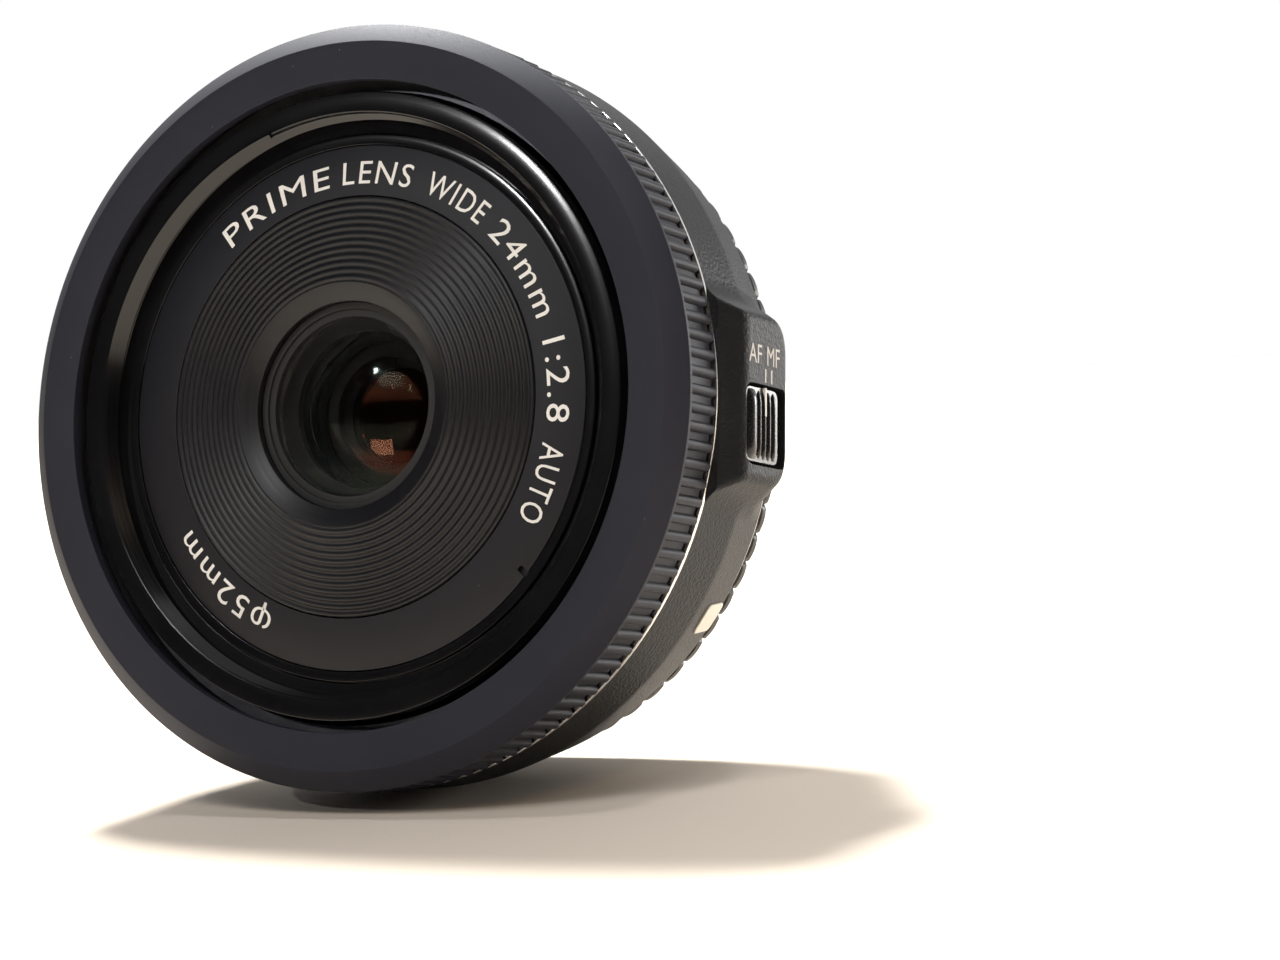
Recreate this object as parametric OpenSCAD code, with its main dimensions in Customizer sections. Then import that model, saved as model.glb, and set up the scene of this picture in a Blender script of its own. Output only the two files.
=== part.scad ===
// Pancake prime lens for an interchangeable-lens camera.
// Origin: centre of the mount flange. -Y: out of the front. +X: the side with the AF/MF switch.
// Heights along the lens run forward from the flange, and angles anticlockwise from +X, seen from the front.

/* [Overall] */
// Diameter of the filter thread; every ring outside it is built up from here
filter_d = 52; // [50:0.5:63]
// Length from the mount flange to the front rim
body_len = 22.8; // [22.8:0.1:27.4]
// Forward travel of the focusing group
focus_travel = 6.5; // [4:0.1:6.5]

/* [Rings around the filter thread] */
// Wall of the moving barrel outside the filter thread
front_wall = 1.9; // [1.6:0.1:2.4]
// Gap between the moving barrel and the cam ring
barrel_gap = 0.4; // [0.3:0.05:0.6]
// Wall of the cam ring
cam_wall = 1.3; // [1:0.1:1.7]
// Gap between the cam ring and the guide barrel
cam_gap = 0.25; // [0.2:0.05:0.4]
// Wall of the guide barrel
guide_wall = 1.2; // [1:0.1:1.8]
// Running clearance of the focus ring on the guide barrel
ring_fit = 0.06; // [0.03:0.01:0.1]
// Wall of the focus ring's sleeve
sleeve_wall = 0.8; // [0.7:0.1:1.2]
// Gap between the sleeve and the outer barrel
shell_gap = 0.3; // [0.25:0.05:0.5]
// Wall of the outer barrel
shell_wall = 1.55; // [1.5:0.05:2.2]

/* [Focus ring] */
// Number of grip teeth
grip_teeth = 134; // [90:1:150]
// Depth of the grooves between them
grip_depth = 0.5; // [0.3:0.05:0.7]
// Width of the grip along the lens
grip_len = 6.4; // [6:0.1:8]
// How far the grip stands proud of the outer barrel
grip_step = 0.34; // [0.2:0.02:0.8]
// Gap between the front rim and the moving barrel
mouth_gap = 1.03; // [0.6:0.01:1.4]
// Width and depth of the bevel on the front rim
bevel_w = 1.76; // [1:0.02:2.4]
bevel_h = 1.43; // [0.8:0.01:2]
// Thickness of the front rim
rim_t = 1.1; // [0.9:0.1:1.4]
// Length of the sleeve behind the grip
sleeve_len = 3.8; // [3.2:0.1:4.4]
// Number of teeth on the sensing comb
comb_teeth = 48; // [24:2:60]

/* [Outer barrel] */
// Height of the crease where the barrel starts to taper
crease_z = 8.7; // [7.5:0.1:10]
// How much the radius shrinks from the crease to the mount
taper = 1.56; // [0.8:0.02:1.8]
// Thickness of the bright trim ring
trim_t = 0.42; // [0.3:0.02:0.6]
// Angle and size of the square mounting mark
index_angle = -34.3; // [-45:0.1:-28]
index_w = 3; // [2:0.1:4]

/* [AF/MF switch] */
// Height of the switch pad's face above the outer barrel
pad_rise = 1.85; // [1.5:0.05:2.4]
// Half height of the pad's face, across the lens
pad_half = 7.2; // [6.8:0.1:8]
// Length of the switch window along the lens
window_len = 8.1; // [7.6:0.1:8.1]
// Height of the switch window, across the lens
window_h = 7.1; // [5:0.1:7.1]
// Travel of the knob between AF and MF
switch_travel = 1.2; // [0.8:0.1:1.4]

/* [Mount] */
// Outer radius of the bayonet tube
bayonet_r = 25.6; // [25:0.1:26]
// Length of the bayonet tube
bayonet_len = 6; // [5.5:0.1:7]
// Outer radius and angular width of the bayonet lugs
lug_r = 27; // [26.6:0.1:27.2]
lug_angle = 54; // [40:1:60]
// Thickness of the mount flange
flange_t = 1.2; // [1:0.1:1.4]
// Room between the bayonet tube and the back wall of the rear cap, and that wall
cap_room = 0.85; // [0.5:0.05:3]
cap_back_t = 1.5; // [1:0.1:2]
// Number of grip lobes on the rear cap
cap_lobes = 72; // [48:1:90]

/* [Focus drive] */
// Turn of the cam ring that gives the whole travel
cam_turn = 100; // [80:1:102]
// Radius of the guide pins
guide_pin_r = 0.9; // [0.7:0.05:1]
// Clearance around a guide pin in its slots
pin_fit = 0.1; // [0.06:0.01:0.15]
// Angle of the output gear's axle
drive_angle = 110; // [104:1:114]
// Radius and height of the motor can
motor_r = 4; // [3.5:0.1:4.2]
motor_h = 3.1; // [2.6:0.1:3.1]

/* [Iris] */
// Number of blades
blades = 7; // [7:1:7]
// Radius of the fixed opening behind the blades
iris_open_r = 4.4; // [4:0.1:4.5]
// Radius of the circle of blade pivots
pivot_r = 9.2; // [9:0.1:9.6]
// Distance from a blade's pivot to its drive pin
pin_arm = 2.2; // [2:0.1:2.3]
// Thickness of a blade and spacing of the blade levels
blade_t = 0.1; // [0.06:0.01:0.11]
blade_pitch = 0.15; // [0.14:0.01:0.16]

/* [Optics] */
// Radii of the elements, from front to back
glass1_r = 8.6; // [8:0.1:8.8]
glass2_r = 7.6; // [7.2:0.1:7.8]
glass34_r = 6.8; // [6.4:0.1:7]
glass5_r = 8.2; // [7.8:0.1:8.6]
glass6_r = 10.4; // [10:0.1:10.6]
// Clearance around each element in its cell
glass_fit = 0.08; // [0.04:0.01:0.12]
// Number of light-trap ribs on the front baffle
baffle_ribs = 12; // [8:1:14]

/* [Hidden] */
$fn = 120;
tiny = 0.05;

// radii of the nested rings
thread_r = filter_d / 2;
front_r = thread_r + front_wall;
cam_in_r = front_r + barrel_gap;
cam_out_r = cam_in_r + cam_wall;
guide_in_r = cam_out_r + cam_gap;
guide_r = guide_in_r + guide_wall;
sleeve_in_r = guide_r + ring_fit;
sleeve_r = sleeve_in_r + sleeve_wall;
shell_in_r = sleeve_r + shell_gap;
shell_r = shell_in_r + shell_wall;
grip_r = shell_r + grip_step;
mouth_r = front_r + mouth_gap;
tail_r = shell_r - taper;
tail_in_r = guide_r + 0.1;
flange_r = tail_r - 0.6;

// heights forward of the flange
shell_z = flange_t + tiny;
grip_z = body_len - grip_len;
trim_z = grip_z - 0.7;
rim_z = body_len - 0.6;
floor_z = body_len - 3.6;
floor_t = 0.9;
thread_z = floor_z + 0.7;
cam_z = 9;
cam_top = body_len - 2.6;
skirt_z = cam_z + 2.2;
pin_z = cam_top - focus_travel - guide_pin_r - pin_fit - 0.4;
slot_half = guide_pin_r + pin_fit;
pin_angles = [90, 210, 330];
base_z = shell_z;
base_t = 0.8;
base_top = base_z + base_t;

// front trim
name_r = thread_r - 2.55;
baffle_r = thread_r - 7.2;
trim_gap = 0.1;
name_rise = 0.61;
name_edge_z = floor_z + 0.95;
peak_r = 10.86;
peak_z = body_len - 0.36;
lip_r = 9.27;
lip_z = peak_z - 0.79;
seat_w = 2.35;

// mount
bayonet_wall = 1.2;
bayonet_in_r = bayonet_r - bayonet_wall;
lug_t = 1.4;
lug_z = -bayonet_len + 1.6;
screw_r = 0.85;
screw_hole_r = screw_r + tiny;
screw_head_r = 1.5;
screw_circle = guide_in_r - 1.25;
screw_angles = [15, 75, 195, 285];
boss_r = 1.3;
boss_h = 3;
cap_r = flange_r + 0.3;
cap_gap = 0.35;
cap_len = bayonet_len + cap_room + cap_back_t - cap_gap;
cap_in_r = lug_r + 0.6;

// switch
pad_x = shell_r + pad_rise;
pad_slope = 1.9;
pad_back_z = trim_z - 10.1;
window_z = trim_z - pad_slope - 0.06;
window_y = -2.3;
knob_fit = 0.15;
knob_len = window_len - switch_travel - 2 * knob_fit;
recess_x = pad_x - 1.35;
stem_w = 2;
switch_z = window_z - window_len / 2;

// focus drive: wheel sizes follow from module and teeth
ring_module = 0.5;
ring_teeth = round(2 * (cam_in_r - 0.8) / ring_module);
ring_pitch_r = ring_teeth * ring_module / 2;
out_small = 14;
out_large = 24;
idle_small = 10;
idle_large = 32;
motor_teeth = 10;
mid_module = 0.4;
fast_module = 0.3;
out_circle = ring_pitch_r - out_small * ring_module / 2;
mid_dist = (out_large + idle_small) * mid_module / 2;
fast_dist = (idle_large + motor_teeth) * fast_module / 2;
idle_circle = out_circle - 1.4;
motor_circle = idle_circle - 0.2;
function step_angle(a, b, d) = acos((a * a + b * b - d * d) / (2 * a * b));
idle_angle = drive_angle + step_angle(out_circle, idle_circle, mid_dist);
motor_angle = idle_angle + step_angle(idle_circle, motor_circle, fast_dist);
function polar(r, a) = [r * cos(a), r * sin(a)];
out_at = polar(out_circle, drive_angle);
idle_at = polar(idle_circle, idle_angle);
motor_at = polar(motor_circle, motor_angle);
function heading(a, b) = atan2(b[1] - a[1], b[0] - a[0]);
mid_head = heading(out_at, idle_at);
fast_head = heading(idle_at, motor_at);
axle_r = 0.5;
axle_fit = 0.05;
plate_z = base_top + motor_h + tiny;
plate_t = 0.4;
fast_z = plate_z + plate_t + 0.15;
mid_z = fast_z + 1.35;
ring_gear_h = 1.4;

// main board
board_z = base_top + 0.85;
board_t = 0.6;
board_top = board_z + board_t;
board_in_r = 17;
board_out_r = screw_circle - boss_r - 0.3;
board_from = 172;
board_to = 425;
post_angles = [196, 268, 344];
post_circle = 24.6;
post_hole_r = 0.55;
sensor_at = 22;
sensor_angle = 40;
flag_z = board_top + 1.8;

// optical cells, hung from the moving barrel's floor
cell_r = 12.8;
cell_top = floor_z + 1.7;
iris_z = floor_z - 8.3;
drive_z = iris_z + 1.65;
cell_z = iris_z + 2.5;
rear_cell_z = iris_z - 12.3;
rear_cell_r = 12;
snout_r = 5.95;

// iris
blade_z = iris_z + 0.48;
drive_pin_r = 0.35;
drive_circle = pivot_r - pin_arm;
drive_pitch_r = 14;
drive_module = 0.35;
iris_teeth = 10;
iris_wheel_at = polar(drive_pitch_r + iris_teeth * drive_module / 2, 300);
blade_in_r = iris_open_r + 0.1;
blade_out_r = drive_circle - drive_pin_r - 0.2;
blade_sweep = 115;

// stands the optical axis along -Y
module optic() { rotate([90, 0, 0]) children(); }

// ring turned from a profile of [radius, height] points
module turned(points) { rotate_extrude() polygon(points); }

module tube(r_out, r_in, z, h) {
    translate([0, 0, z]) difference() {
        cylinder(r = r_out, h = h);
        translate([0, 0, -1]) cylinder(r = r_in, h = h + 2);
    }
}

module sector(r_in, r_out, from, to, z, h) {
    rotate([0, 0, from]) translate([0, 0, z])
        rotate_extrude(angle = to - from) translate([r_in, 0]) square([r_out - r_in, h]);
}

// outline with evenly spaced ribs whose crests are as wide as the grooves
function ribbed(n, r_top, r_root) = [for (i = [0:n - 1], k = [0:3])
    polar(k < 2 ? r_top : r_root, (i + [-0.2, 0.2, 0.3, 0.7][k]) * 360 / n)];

// spur wheel outline: a tooth points along +X; slack thins every tooth
function wheel(n, m, slack = 0.06) = let (r = n * m / 2, half = 90 / n, thin = slack / r * 28.6)
    [for (i = [0:n - 1], k = [0:5]) polar(
        [r - 1.2 * m, r, r + 0.8 * m, r + 0.8 * m, r, r - 1.2 * m][k],
        i * 360 / n + [-1.5, -1, -0.42, 0.42, 1, 1.5][k] * (half - thin))];

module spur(n, m, z, h, turn) {
    rotate([0, 0, turn]) translate([0, 0, z]) linear_extrude(h) polygon(wheel(n, m));
}

// lens element between vertex heights back and front; positive curvature bulges outward
module glass(r, back, front, r_back, r_front, edge_back, edge_front) {
    low = min(back, edge_back);
    high = max(front, edge_front);
    difference() {
        intersection() {
            translate([0, 0, low]) cylinder(r = r, h = high - low);
            if (r_front > 0) translate([0, 0, front - r_front]) sphere(r = r_front, $fn = 200);
            if (r_back > 0) translate([0, 0, back + r_back]) sphere(r = r_back, $fn = 200);
        }
        if (r_front < 0) translate([0, 0, front - r_front]) sphere(r = -r_front, $fn = 200);
        if (r_back < 0) translate([0, 0, back + r_back]) sphere(r = -r_back, $fn = 200);
    }
}

module focus_ring() {
    color([0.13, 0.13, 0.14]) optic() difference() {
        turned([[mouth_r, body_len], [grip_r - bevel_w, body_len], [grip_r, body_len - bevel_h],
            [grip_r, grip_z], [sleeve_r, grip_z], [sleeve_r, grip_z - sleeve_len],
            [sleeve_in_r, grip_z - sleeve_len], [sleeve_in_r, body_len - rim_t], [mouth_r, body_len - rim_t]]);
        comb_slots();
        translate([0, 0, grip_z - 1]) linear_extrude(grip_len - bevel_h - 0.5 + 1) difference() {
            circle(r = grip_r + 2);
            polygon(ribbed(grip_teeth, grip_r + 0.05, grip_r - grip_depth));
        }
    }
}

// bars across the sleeve's end, each cutting two opposite slots of the sensing comb
module comb_slots() {
    slot_w = PI * sleeve_r / comb_teeth;
    for (i = [0:comb_teeth / 2 - 1]) rotate([0, 0, i * 360 / comb_teeth])
        translate([-sleeve_r - 2, -slot_w / 2, grip_z - sleeve_len - 1]) cube([2 * sleeve_r + 4, slot_w, 2.4]);
}

module trim_ring() {
    color([0.8, 0.8, 0.8]) optic() tube(shell_r + 0.2, shell_in_r + 0.1, trim_z + 0.01, trim_t);
}

module outer_barrel() {
    color([0.1, 0.1, 0.1]) optic() difference() {
        union() {
            turned([[0, shell_z], [tail_r, shell_z], [shell_r, crease_z], [shell_r, trim_z], [0, trim_z]]);
            switch_pad();
        }
        turned([[0, shell_z - 1], [tail_in_r, shell_z - 1], [tail_in_r, shell_z],
            [shell_in_r, crease_z - 0.3], [shell_in_r, trim_z + 1], [0, trim_z + 1]]);
        translate([recess_x, window_y - window_h / 2, window_z - window_len])
            cube([4, window_h, window_len]);
        translate([shell_in_r - 2, window_y - stem_w / 2 - knob_fit, switch_z - stem_w / 2 - knob_fit - switch_travel])
            cube([6, stem_w + 2 * knob_fit, stem_w + 2 * knob_fit + switch_travel]);
        index_block(0);
        for (a = [-62, -70]) rotate([0, 0, a]) translate([shell_in_r - 1, -1.6, trim_z - 3.3])
            cube([1.9, 3.2, 2.4]);
    }
}

// the pad: its side profile crossed with its end profile
module switch_pad() {
    intersection() {
        translate([0, 12, 0]) rotate([90, 0, 0]) linear_extrude(24)
            polygon([[shell_r - 5, trim_z], [shell_r + 0.05, trim_z], [pad_x, trim_z - pad_slope],
                [pad_x, pad_back_z], [shell_r - 1.4, pad_back_z - 2.3], [shell_r - 5, pad_back_z - 2.3]]);
        linear_extrude(30) polygon([[shell_r - 5, -pad_half - 1.8], [shell_r - 1.3, -pad_half - 1.8],
            [pad_x, -pad_half], [pad_x, pad_half], [shell_r - 1.3, pad_half + 1.8],
            [shell_r - 5, pad_half + 1.8]]);
    }
}

// square mark let into the taper; grow lifts its face proud
module index_block(grow) {
    slope = taper / (crease_z - shell_z);
    intersection() {
        rotate([0, 0, index_angle]) translate([20, -index_w / 2, shell_z + 0.3])
            cube([20, index_w, 4.4]);
        turned([[tail_r - 0.4, shell_z], [tail_r + grow, shell_z],
            [tail_r + grow + slope * 6, shell_z + 6], [tail_r - 0.4 + slope * 6, shell_z + 6]]);
    }
}

module mount_index() { color([0.93, 0.91, 0.85]) optic() index_block(0.15); }

module switch_knob() {
    top = window_z - knob_fit;
    color([0.05, 0.05, 0.05]) optic() {
        translate([recess_x + 0.1, window_y - window_h / 2 + knob_fit, top - knob_len])
            cube([1.1, window_h - 2 * knob_fit, knob_len]);
        for (i = [0:4]) translate([recess_x + 1.1, window_y - window_h / 2 + 0.5, top - 0.9 - i * 1.25])
            cube([0.5, window_h - 1, 0.6]);
        translate([shell_in_r - 0.25, window_y - stem_w / 2, switch_z - stem_w / 2])
            cube([recess_x - shell_in_r + 0.5, stem_w, stem_w]);
    }
}

module switch_contact() {
    color([0.2, 0.35, 0.25]) optic() translate([guide_r + 0.25, window_y - 1.6, switch_z - 1.9])
        cube([0.45, 3.2, 4.2]);
}

module mount_ring() {
    color([0.75, 0.75, 0.76]) optic() difference() {
        union() {
            tube(flange_r, bayonet_in_r, 0, flange_t);
            tube(bayonet_r, bayonet_in_r, -bayonet_len, bayonet_len + tiny);
            for (a = [75, 195, 315])
                sector(bayonet_r - tiny, lug_r, a - lug_angle / 2, a + lug_angle / 2, lug_z, lug_t);
        }
        at_screws() screw_shape(tiny);
    }
}

module at_screws() {
    for (a = screw_angles) rotate([0, 0, a]) translate([screw_circle, 0, 0]) children();
}

// countersunk screw entering from behind the flange
module screw_shape(grow) {
    translate([0, 0, -grow]) cylinder(r1 = screw_head_r + grow, r2 = screw_r + grow, h = 0.7 + grow);
    cylinder(r = screw_r + grow, h = flange_t + boss_h + grow);
}

module mount_screws() {
    color([0.6, 0.6, 0.62]) optic() at_screws() difference() {
        screw_shape(0);
        for (a = [0, 90]) rotate([0, 0, a]) translate([-0.8, -0.15, -1]) cube([1.6, 0.3, 1.4]);
    }
}

module rear_baffle() {
    color([0.07, 0.07, 0.07]) optic() difference() {
        turned([[rear_cell_r + 0.9, -1.2], [rear_cell_r + 2, -1.6], [bayonet_in_r - tiny, -1.6],
            [bayonet_in_r - tiny, -0.8], [rear_cell_r + 0.9, -0.8]]);
        flex_slot();
    }
}

module flex_slot() { translate([-4.3, -19.3, -3]) cube([8.6, 0.8, 8]); }

module contact_block() {
    color([0.08, 0.08, 0.08]) optic() difference() {
        sector(20.8, bayonet_in_r - 0.1, 238, 302, -bayonet_len + 0.4, bayonet_len - 2.05);
        at_contacts() cylinder(r = 0.6, h = 1.4, center = true);
    }
}

module at_contacts() {
    for (i = [0:7]) rotate([0, 0, 270 + (i - 3.5) * 7.4])
        translate([22.5, 0, -bayonet_len + 0.4]) children();
}

module contact_pins() {
    color([0.85, 0.65, 0.2]) optic() at_contacts() translate([0, 0, -0.35]) cylinder(r = 0.58, h = 1.05, $fn = 32);
}

module contact_flex() {
    color([0.75, 0.45, 0.15]) optic() translate([-4, 0, 0]) rotate([90, 0, 90]) linear_extrude(8)
        polygon([[-20.35, -3.2], [-18.85, -3.2], [-18.85, board_top + 0.35], [-20, board_top + 0.35],
            [-20, board_top + 0.2], [-19, board_top + 0.2], [-19, -3.05], [-20.35, -3.05]]);
}

module main_board() {
    color([0.1, 0.4, 0.25]) optic() difference() {
        sector(board_in_r, board_out_r, board_from, board_to, board_z, board_t);
        at_posts() cylinder(r = post_hole_r + 0.1, h = 9);
        translate([0, 0, 1]) flex_slot();
    }
}

module at_posts() { for (a = post_angles) rotate([0, 0, a]) translate([post_circle, 0, 0]) children(); }

module board_screws() {
    color([0.6, 0.6, 0.62]) optic() at_posts() {
        translate([0, 0, board_top + 0.01]) difference() {
            cylinder(r = 1, h = 0.5, $fn = 32);
            for (a = [0, 90]) rotate([0, 0, a]) translate([-0.6, -0.12, 0.2]) cube([1.2, 0.24, 1]);
        }
        translate([0, 0, base_top + 0.1]) cylinder(r = post_hole_r - 0.03, h = board_top - base_top);
    }
}

module board_part(r, a, size) {
    rotate([0, 0, a]) translate([r - size[0] / 2, -size[1] / 2, board_top + 0.01]) cube(size);
}

module control_chip() { color([0.1, 0.1, 0.1]) optic() board_part(22.2, 232, [6, 6, 0.9]); }
module driver_chip() { color([0.12, 0.12, 0.12]) optic() board_part(22, 306, [4, 5, 0.8]); }
module flex_connector() { color([0.85, 0.8, 0.7]) optic() board_part(21.2, 270, [1.8, 9, 1]); }

module home_sensor() {
    color([0.15, 0.15, 0.15]) optic() difference() {
        board_part(sensor_at, sensor_angle, [4, 3, 4]);
        rotate([0, 0, sensor_angle]) translate([sensor_at - 0.7, -5, board_top + 1]) cube([1.4, 10, 9]);
    }
}

module ring_sensors() {
    color([0.12, 0.12, 0.12]) optic() for (a = [-62, -70]) rotate([0, 0, a])
        translate([shell_in_r - 0.12, -1.5, trim_z - 3.2]) cube([1, 3, 2.2]);
}

module guide_barrel() {
    color([0.16, 0.16, 0.17]) optic() difference() {
        union() {
            tube(guide_r, guide_in_r, base_z, body_len - 1.6 - base_z);
            tube(guide_r, board_in_r - 1.8, base_z, base_t);
            intersection() {
                at_screws() translate([0, 0, base_z]) cylinder(r = boss_r, h = base_t + boss_h);
                cylinder(r = guide_r - 0.1, h = 20);
            }
            at_posts() translate([0, 0, base_top - tiny]) cylinder(r = 1.2, h = board_z - base_top + tiny);
        }
        at_screws() cylinder(r = screw_hole_r, h = 30);
        at_posts() translate([0, 0, base_top]) cylinder(r = post_hole_r, h = 9);
        for (a = pin_angles) rotate([0, 0, a])
            translate([guide_in_r - 1, -slot_half, pin_z - slot_half - 0.1])
                cube([guide_wall + 2, 2 * slot_half, focus_travel + 2 * slot_half + 0.2]);
        flex_slot();
    }
}

// one cam slot as a swept helical band
module cam_slot() {
    steps = 26;
    reach = (slot_half + 0.15) / cam_in_r * 57.3;
    ring = [for (i = [0:steps]) let (a = reach - i * (cam_turn + 2 * reach) / steps,
            rise = focus_travel * -a / cam_turn, h = slot_half * 1.02)
        each [for (q = [[cam_in_r - 0.4, -h], [cam_out_r + 0.4, -h], [cam_out_r + 0.4, h], [cam_in_r - 0.4, h]])
            [q[0] * cos(a), q[0] * sin(a), pin_z + rise + q[1]]]];
    faces = concat([[0, 1, 2, 3]], [for (i = [0:steps - 1], k = [0:3])
            [4 * i + k, 4 * i + 4 + k, 4 * i + 4 + (k + 1) % 4, 4 * i + (k + 1) % 4]],
        [[4 * steps + 3, 4 * steps + 2, 4 * steps + 1, 4 * steps]]);
    polyhedron(ring, faces);
}

module cam_ring() {
    color([0.35, 0.35, 0.36]) optic() {
        difference() {
            tube(cam_out_r, cam_in_r, cam_z, cam_top - cam_z);
            for (a = pin_angles) rotate([0, 0, a]) cam_slot();
        }
        rotate([0, 0, drive_angle]) translate([0, 0, cam_z]) linear_extrude(ring_gear_h) difference() {
            circle(r = cam_in_r + 0.1);
            polygon(wheel_space(ring_teeth, ring_module));
        }
    }
}

// outline cut out of an internal gear: a space points along +X
function wheel_space(n, m) = let (r = n * m / 2, half = 90 / n)
    [for (i = [0:n - 1], k = [0:5]) polar(
        [r - 0.8 * m, r, r + 1.1 * m, r + 1.1 * m, r, r - 0.8 * m][k],
        i * 360 / n + [-1.52, -1, -0.5, 0.5, 1, 1.52][k] * half)];

module focus_motor() {
    color([0.7, 0.7, 0.72]) optic() translate([motor_at[0], motor_at[1], base_top + tiny]) difference() {
        cylinder(r = motor_r, h = motor_h - tiny);
        translate([0, 0, 0.8]) cylinder(r = axle_r + axle_fit, h = 9);
    }
}

module gear_plate() {
    color([0.72, 0.7, 0.62]) optic() difference() {
        union() {
            translate([0, 0, plate_z]) linear_extrude(plate_t) {
                hull() { translate(motor_at) circle(r = motor_r); translate(idle_at) circle(r = 2); }
                hull() { translate(out_at) circle(r = 2); translate(idle_at) circle(r = 2); }
            }
            for (at = [out_at, idle_at])
                translate([at[0], at[1], base_top + tiny]) cylinder(r = 1.1, h = plate_z - base_top);
            translate([idle_at[0], idle_at[1], plate_z]) cylinder(r = axle_r, h = mid_z + 0.9 - plate_z);
            translate([out_at[0], out_at[1], plate_z]) cylinder(r = axle_r, h = cam_z + ring_gear_h - plate_z);
        }
        translate([motor_at[0], motor_at[1], plate_z - 1]) cylinder(r = axle_r + 0.3, h = 3);
    }
}

module motor_pinion() {
    color([0.8, 0.65, 0.3]) optic() translate(motor_at) {
        spur(motor_teeth, fast_module, fast_z, 0.8, fast_head + 180 + 180 / motor_teeth);
        translate([0, 0, base_top + 1]) cylinder(r = axle_r, h = fast_z + 1 - base_top - 1);
    }
}

module idler_gear() {
    color([0.9, 0.88, 0.82]) optic() translate(idle_at) difference() {
        union() {
            spur(idle_large, fast_module, fast_z, 0.7, fast_head);
            spur(idle_small, mid_module, fast_z + 0.65, mid_z + 0.85 - fast_z - 0.65,
                mid_head + 180 + 180 / idle_small);
        }
        cylinder(r = axle_r + axle_fit, h = 30);
    }
}

module output_gear() {
    color([0.9, 0.88, 0.82]) optic() translate(out_at) difference() {
        union() {
            spur(out_large, mid_module, mid_z, 0.7, mid_head);
            spur(out_small, ring_module, mid_z + 0.65, cam_z + ring_gear_h - mid_z - 0.65, drive_angle);
        }
        cylinder(r = axle_r + axle_fit, h = 30);
    }
}

module front_barrel() {
    color([0.09, 0.09, 0.1]) optic() difference() {
        union() {
            turned([[front_r, skirt_z], [front_r, rim_z], [thread_r, rim_z], [thread_r, thread_z],
                [thread_r - 1.45, thread_z], [thread_r - 1.45, thread_z - 0.35], [thread_r - 1.6, thread_z - 0.35],
                [thread_r - 1.6, floor_z + 1], [name_r + trim_gap, floor_z + 1], [name_r + trim_gap, floor_z],
                [cell_r + 0.1, floor_z], [cell_r + 0.1, floor_z - floor_t], [front_r - 1.5, floor_z - floor_t],
                [front_r - 1.5, skirt_z]]);
            rotate([0, 0, sensor_angle]) translate([sensor_at - 0.3, -0.8, flag_z])
                cube([0.6, 1.6, floor_z - floor_t + 0.1 - flag_z]);
        }
        for (a = pin_angles) rotate([0, 0, a]) translate([front_r - 3, 0, pin_z]) rotate([0, 90, 0])
            cylinder(r = guide_pin_r, h = 5);
        at_cell_screws() cylinder(r = 0.5, h = 30);
    }
}

module guide_pins() {
    color([0.8, 0.8, 0.8]) optic() for (a = pin_angles) rotate([0, 0, a])
        translate([front_r - 1.4, 0, pin_z]) rotate([0, 90, 0])
            cylinder(r = guide_pin_r, h = guide_r - 0.2 - front_r + 1.4);
}

module name_ring() {
    color([0.14, 0.14, 0.15]) optic() difference() {
        turned([[name_r, floor_z + 0.01], [name_r, name_edge_z], [baffle_r + trim_gap / 2, name_edge_z + name_rise],
            [baffle_r + trim_gap / 2, floor_z + 0.01]]);
        rotate([0, 0, -40.7]) translate([name_r - 0.9, -0.3, name_edge_z - 0.3]) cube([3, 0.6, 2]);
    }
}

// step profile of the light-trap ribs, from the outer edge up to the peak
function rib_steps() = let (r0 = baffle_r - trim_gap / 2, z0 = name_edge_z + name_rise + 0.02,
        dr = (r0 - peak_r) / baffle_ribs, dz = (peak_z - z0) / baffle_ribs)
    [for (i = [0:baffle_ribs - 1]) each [[r0 - i * dr, z0 + i * dz],
        [r0 - (i + 0.35) * dr, z0 + (i + 0.35) * dz + 0.1], [r0 - (i + 0.75) * dr, z0 + (i + 0.75) * dz - 0.08]]];

module front_baffle() {
    color([0.12, 0.12, 0.13]) optic() turned(concat([[baffle_r - trim_gap / 2, floor_z + 0.01]], rib_steps(),
        [[peak_r, peak_z], [lip_r, lip_z], [lip_r, cell_top + 0.1], [peak_r, cell_top + 0.1],
        [baffle_r - seat_w - 0.8, floor_z + 1.25], [baffle_r - seat_w, floor_z + 1.1],
        [baffle_r - seat_w, floor_z + 0.01]]));
}

module front_cell() {
    z = cell_z;
    color([0.1, 0.1, 0.1]) optic() difference() {
        turned([[cell_r, z], [cell_r, floor_z + 0.02], [cell_r + 3, floor_z + 0.02], [cell_r + 3, floor_z + 0.6],
            [glass1_r + 0.65, floor_z + 0.6], [glass1_r + 0.65, cell_top], [glass1_r + glass_fit, cell_top],
            [glass1_r + glass_fit, z + 3.2], [glass2_r + glass_fit, z + 3.2], [glass2_r + glass_fit, z + 1.2],
            [glass2_r - 1, z + 1.2], [glass2_r - 1, z + 0.5], [snout_r - 0.65, z + 0.5], [snout_r - 0.65, drive_z],
            [snout_r, drive_z], [snout_r, z]]);
        at_cell_screws() cylinder(r = 0.56, h = 30);
    }
}

module at_cell_screws() { for (a = [30, 150, 270]) rotate([0, 0, a]) translate([cell_r + 1.6, 0, 0]) children(); }

module cell_screws() {
    color([0.6, 0.6, 0.62]) optic() at_cell_screws() {
        translate([0, 0, floor_z + 0.61]) cylinder(r = 0.95, h = 0.4, $fn = 32);
        translate([0, 0, floor_z - 0.8]) cylinder(r = 0.48, h = 1.45, $fn = 32);
    }
}

module front_retainer() {
    color([0.08, 0.08, 0.08]) optic()
        tube(glass1_r + glass_fit - 0.02, glass1_r - 0.55, floor_z + 0.85, 0.6);
}

module front_element() {
    color([0.55, 0.6, 0.65, 0.5]) optic()
        glass(glass1_r, cell_z + 6.5, floor_z + 1.9, -9.5, 30, cell_z + 4.4, floor_z + 0.64);
}

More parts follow.
